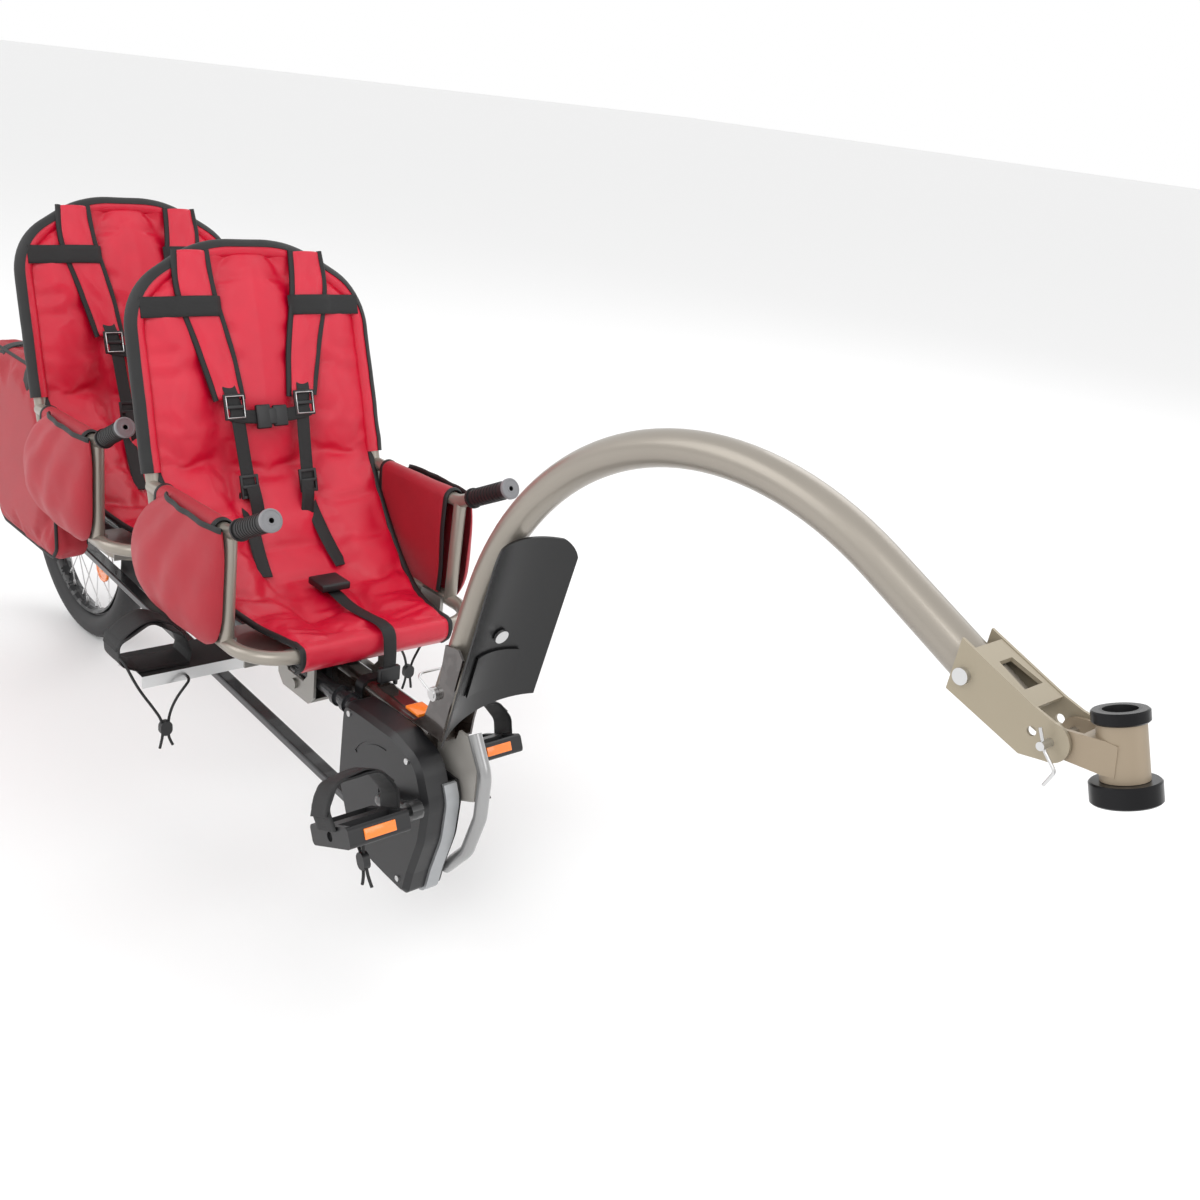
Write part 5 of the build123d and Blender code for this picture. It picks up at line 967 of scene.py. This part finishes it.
# %% The bags, filled between their seams
BAG_SKIN_Y, BAG_BACK_Y, STITCH_REACH, BAG_FILL = 0.1, 0.089, 0.009, 11
for vert in bag_mesh.vertices:
    if abs(vert.co.y) > BAG_SKIN_Y:
        vert.co.y -= copysign(BAG_INSET * MM, vert.co.y)
seam_tree = KDTree(sum(len(seam) for seam in seams))
for number, spot in enumerate(spot for seam in seams for spot in seam):
    seam_tree.insert(spot, number)
seam_tree.balance()
bag_pins = [vert.index for vert in bag_mesh.vertices
            if abs(vert.co.y) < BAG_BACK_Y or seam_tree.find(vert.co)[2] < STITCH_REACH]
inflate(bag_mesh, bag_pins, BAG_FILL, 3.0)
bag_mesh.shade_smooth()
bags = place_piece("pannier_cloth", bag_mesh, "frame", bag_cloth, "panniers", levels=1)

# %% Piping along the seams, and the straps over the rack
BAG_STRAP = ((86, 570), (118, 572), (147, 560), (151, 500), (150, 430))
piping = bmesh.new()
for seam in seams:
    sweep(piping, seam, round_section(3, 8), ACROSS, closed=True)
for hand in (-1, 1):
    for x in (20, 150):
        strap_route = [at(x, hand * y, z) for y, z in BAG_STRAP]
        sweep(piping, spaced(softened(strap_route, 2), 8), flat_section(25, 2), Vector((1, 0, 0)))
place_piece("pannier_piping", make_mesh("piping", piping), "frame", binding)

# %% [markdown]
# ## Foot straps
# Wide webbing loops hold the feet on the footrest and on the pedals. Each laps over itself on top.

# %% Footrest straps: a loop, and the end that laps over it
REST_X = 749
REST_ROUTE = [(152, 285), (222, 285), (250, 300), (252, 330), (205, 356), (158, 326), (149, 300), (152, 288)]
LAP = [(254, 320), (240, 343), (205, 360), (176, 346)]
loops = bmesh.new()
for hand in (-1, 1):
    loop, lap = [[at(REST_X, hand * y, z) for y, z in points] for points in (REST_ROUTE, LAP)]
    for route, width in ((rounded(loop, [14] * (len(loop) - 2), 6), 54), (softened(lap), 46)):
        sweep(loops, spaced(route, 5), flat_section(width, 2.4, 8), Vector((1, 0, 0)))
ruffle(loops, 1.6, 30, Vector((0, 0, 1)))
place_piece("footrest_strap_loops", make_mesh("loops", loops), "frame", webbing,
            "footrest_straps")

# %% Pedal straps
PEDAL_STRAP = [(-42.6, 7.5), (-47, 34), (-30, 62), (30, 62), (47, 34), (42.6, 7.5)]
STRAP_LAP = [(-50, 26), (-38, 56), (-10, 66.5), (26, 66), (44, 44)]
for side_name, centre, along, up in PEDALS:
    loops = bmesh.new()
    loop, lap = [[centre + (ACROSS * a + up * b) * MM for a, b in points] for points in (PEDAL_STRAP,
                                                                                         STRAP_LAP)]
    for route, width in ((rounded(loop, [18] * 4), 44), (softened(lap), 40)):
        sweep(loops, spaced(route, 5), flat_section(width, 2.6, 8), along)
    ruffle(loops, 1.6, 26, up)
    place_piece(f"pedal_strap_{side_name}", make_mesh("pedal_strap", loops), f"pedal_{side_name}", webbing,
                f"foot_strap_{side_name}")

# %% [markdown]
# ## Small hard pieces
# Reflectors and grip caps are small mouldings. A lens is a bevelled block or a turned disc in a glossy
# amber with a weak emission, a painted glow that stands in for the daylight a reflector throws back.

# %% Amber pedal reflectors, at both ends of each cage
LENS_X, LENS_SIZE = 45.4, (3, 42, 13)
# The emission is a painted glow: the lenses shine a little by themselves, in place of reflected daylight.
amber = hard_finish("amber_lens_painted_glow", (0.9, 0.2, 0.01), 0.14, scale=900.0, depth=0.0003, Coat_Weight=1.0,
                    Emission_Color=(0.9, 0.25, 0.02, 1), Emission_Strength=0.08)
for side_name, centre, along, up in PEDALS:
    lens = bmesh.new()
    axes = Matrix.Translation(centre) @ Matrix((along, ACROSS, up)).transposed().to_4x4()
    for end in (-1, 1):
        block(lens, axes, (end * LENS_X, 0, 0), LENS_SIZE, 0.8)
    place_piece(f"pedal_reflectors_{side_name}", make_mesh("lens", lens, 30), f"pedal_{side_name}", amber)

# %% Reflectors on the boom and on a spoke
BOOM_LENS, BOOM_LENS_SIZE = (1122, 0, 332.2), (30, 26, 4.6)
SPOKE_LENS = [(0, 0), (24, 0), (26, 1.5), (26, 4.5), (24.5, 6), (20, 6), (19, 5), (7, 5), (6, 7), (0, 7.6)]
lens = bmesh.new()
block(lens, UPRIGHT, BOOM_LENS, BOOM_LENS_SIZE, 1.2)
place_piece("boom_reflector", make_mesh("boom_lens", lens, 30), "frame", amber)
lens = bmesh.new()
turned(lens, at(118, -14, 172), -ACROSS, SPOKE_LENS)
place_piece("spoke_reflector", make_mesh("spoke_lens", lens, 30), "rear_wheel", amber)

# %% Caps in the grips' ends
GRIP_END = (1041.6, 176.5, 585.6)
CAP = [(3.4, 0.6), (3.4, 5.4), (5.2, 5.9), (5.8, 5.3), (11.4, 5.3), (12, 6), (13.6, 5.6), (14.5, 4.4),
       (14.5, 0.6)]
caps = bmesh.new()
for hand in (-1, 1):
    tip = at(GRIP_END[0], hand * GRIP_END[1], GRIP_END[2])
    axis = (tip - at(ARM_POST[0], hand * ARM_POST[1], ARM_POST[2])).normalized()
    turned(caps, tip, axis, CAP)
seat_pair("grip_caps", make_mesh("caps", caps, 30), cap_grey)

# %% [markdown]
# ## The tyre's tread
# The tyre's rubber has low blocks with slanted cuts and long grooves between them. They are under 2 mm
# high, so a pattern in the height makes them: the angle about the axle gives the cuts, and the distance
# from the tyre's middle gives the grooves. It stops below the crown, where the side walls are plain.

# %% The tread as a group
AXLE_Z, TREAD_FROM, CUT_SLANT, GROOVES, CUT_EDGE, GROOVE_EDGE = 250, 0.2385, 260.0, 780.0, -0.55, -0.6
tread, tread_in, tread_out = new_group("tread", [("Blocks", FLOAT, 84.0)], [("Height", FLOAT)])
from_axle, radius = tread.nodes.new("ShaderNodeVectorMath"), tread.nodes.new("ShaderNodeVectorMath")
from_axle.operation, radius.operation = "SUBTRACT", "LENGTH"
tread.links.new(object_place(tread), from_axle.inputs[0])
from_axle.inputs[1].default_value = at(0, 0, AXLE_Z)
split = tread.nodes.new("ShaderNodeSeparateXYZ")
tread.links.new(from_axle.outputs[0], split.inputs[0])
tread.links.new(from_axle.outputs[0], radius.inputs[0])
angle = math_node(tread, "ARCTAN2", split.outputs["Z"], split.outputs["X"])
off_middle = math_node(tread, "ABSOLUTE", split.outputs["Y"], 0.0)
slant = math_node(tread, "ADD", math_node(tread, "MULTIPLY", angle, tread_in["Blocks"]),
                  math_node(tread, "MULTIPLY", off_middle, CUT_SLANT))
cuts = math_node(tread, "GREATER_THAN", math_node(tread, "SINE", slant, 0.0), CUT_EDGE)
ribs = math_node(tread, "SINE", math_node(tread, "MULTIPLY", off_middle, GROOVES), 0.0)
grooves = math_node(tread, "GREATER_THAN", ribs, GROOVE_EDGE)
crown_only = math_node(tread, "GREATER_THAN", radius.outputs["Value"], TREAD_FROM)
blocks = math_node(tread, "MULTIPLY", cuts, grooves)
tread.links.new(math_node(tread, "MULTIPLY", blocks, crown_only), tread_out["Height"])
print("tread has", len(tread.nodes), "nodes")

# %% The tyre's rubber, with the tread in its height
TREAD_DEPTH = 0.0018
tyre_finish, tree, shader = start_material("tyre_tread", Roughness=0.6)
skin = place_group(tree, grain, Colour=(0.016, 0.016, 0.017, 1), Clouds=0.3, Roughness=0.6, Spread=0.2)
tree.links.new(skin.outputs["Colour"], shader.inputs["Base Color"])
tree.links.new(skin.outputs["Roughness"], shader.inputs["Roughness"])
bump(tree, shader, place_group(tree, tread).outputs["Height"], TREAD_DEPTH)
dress(tyre_finish, "tyre")
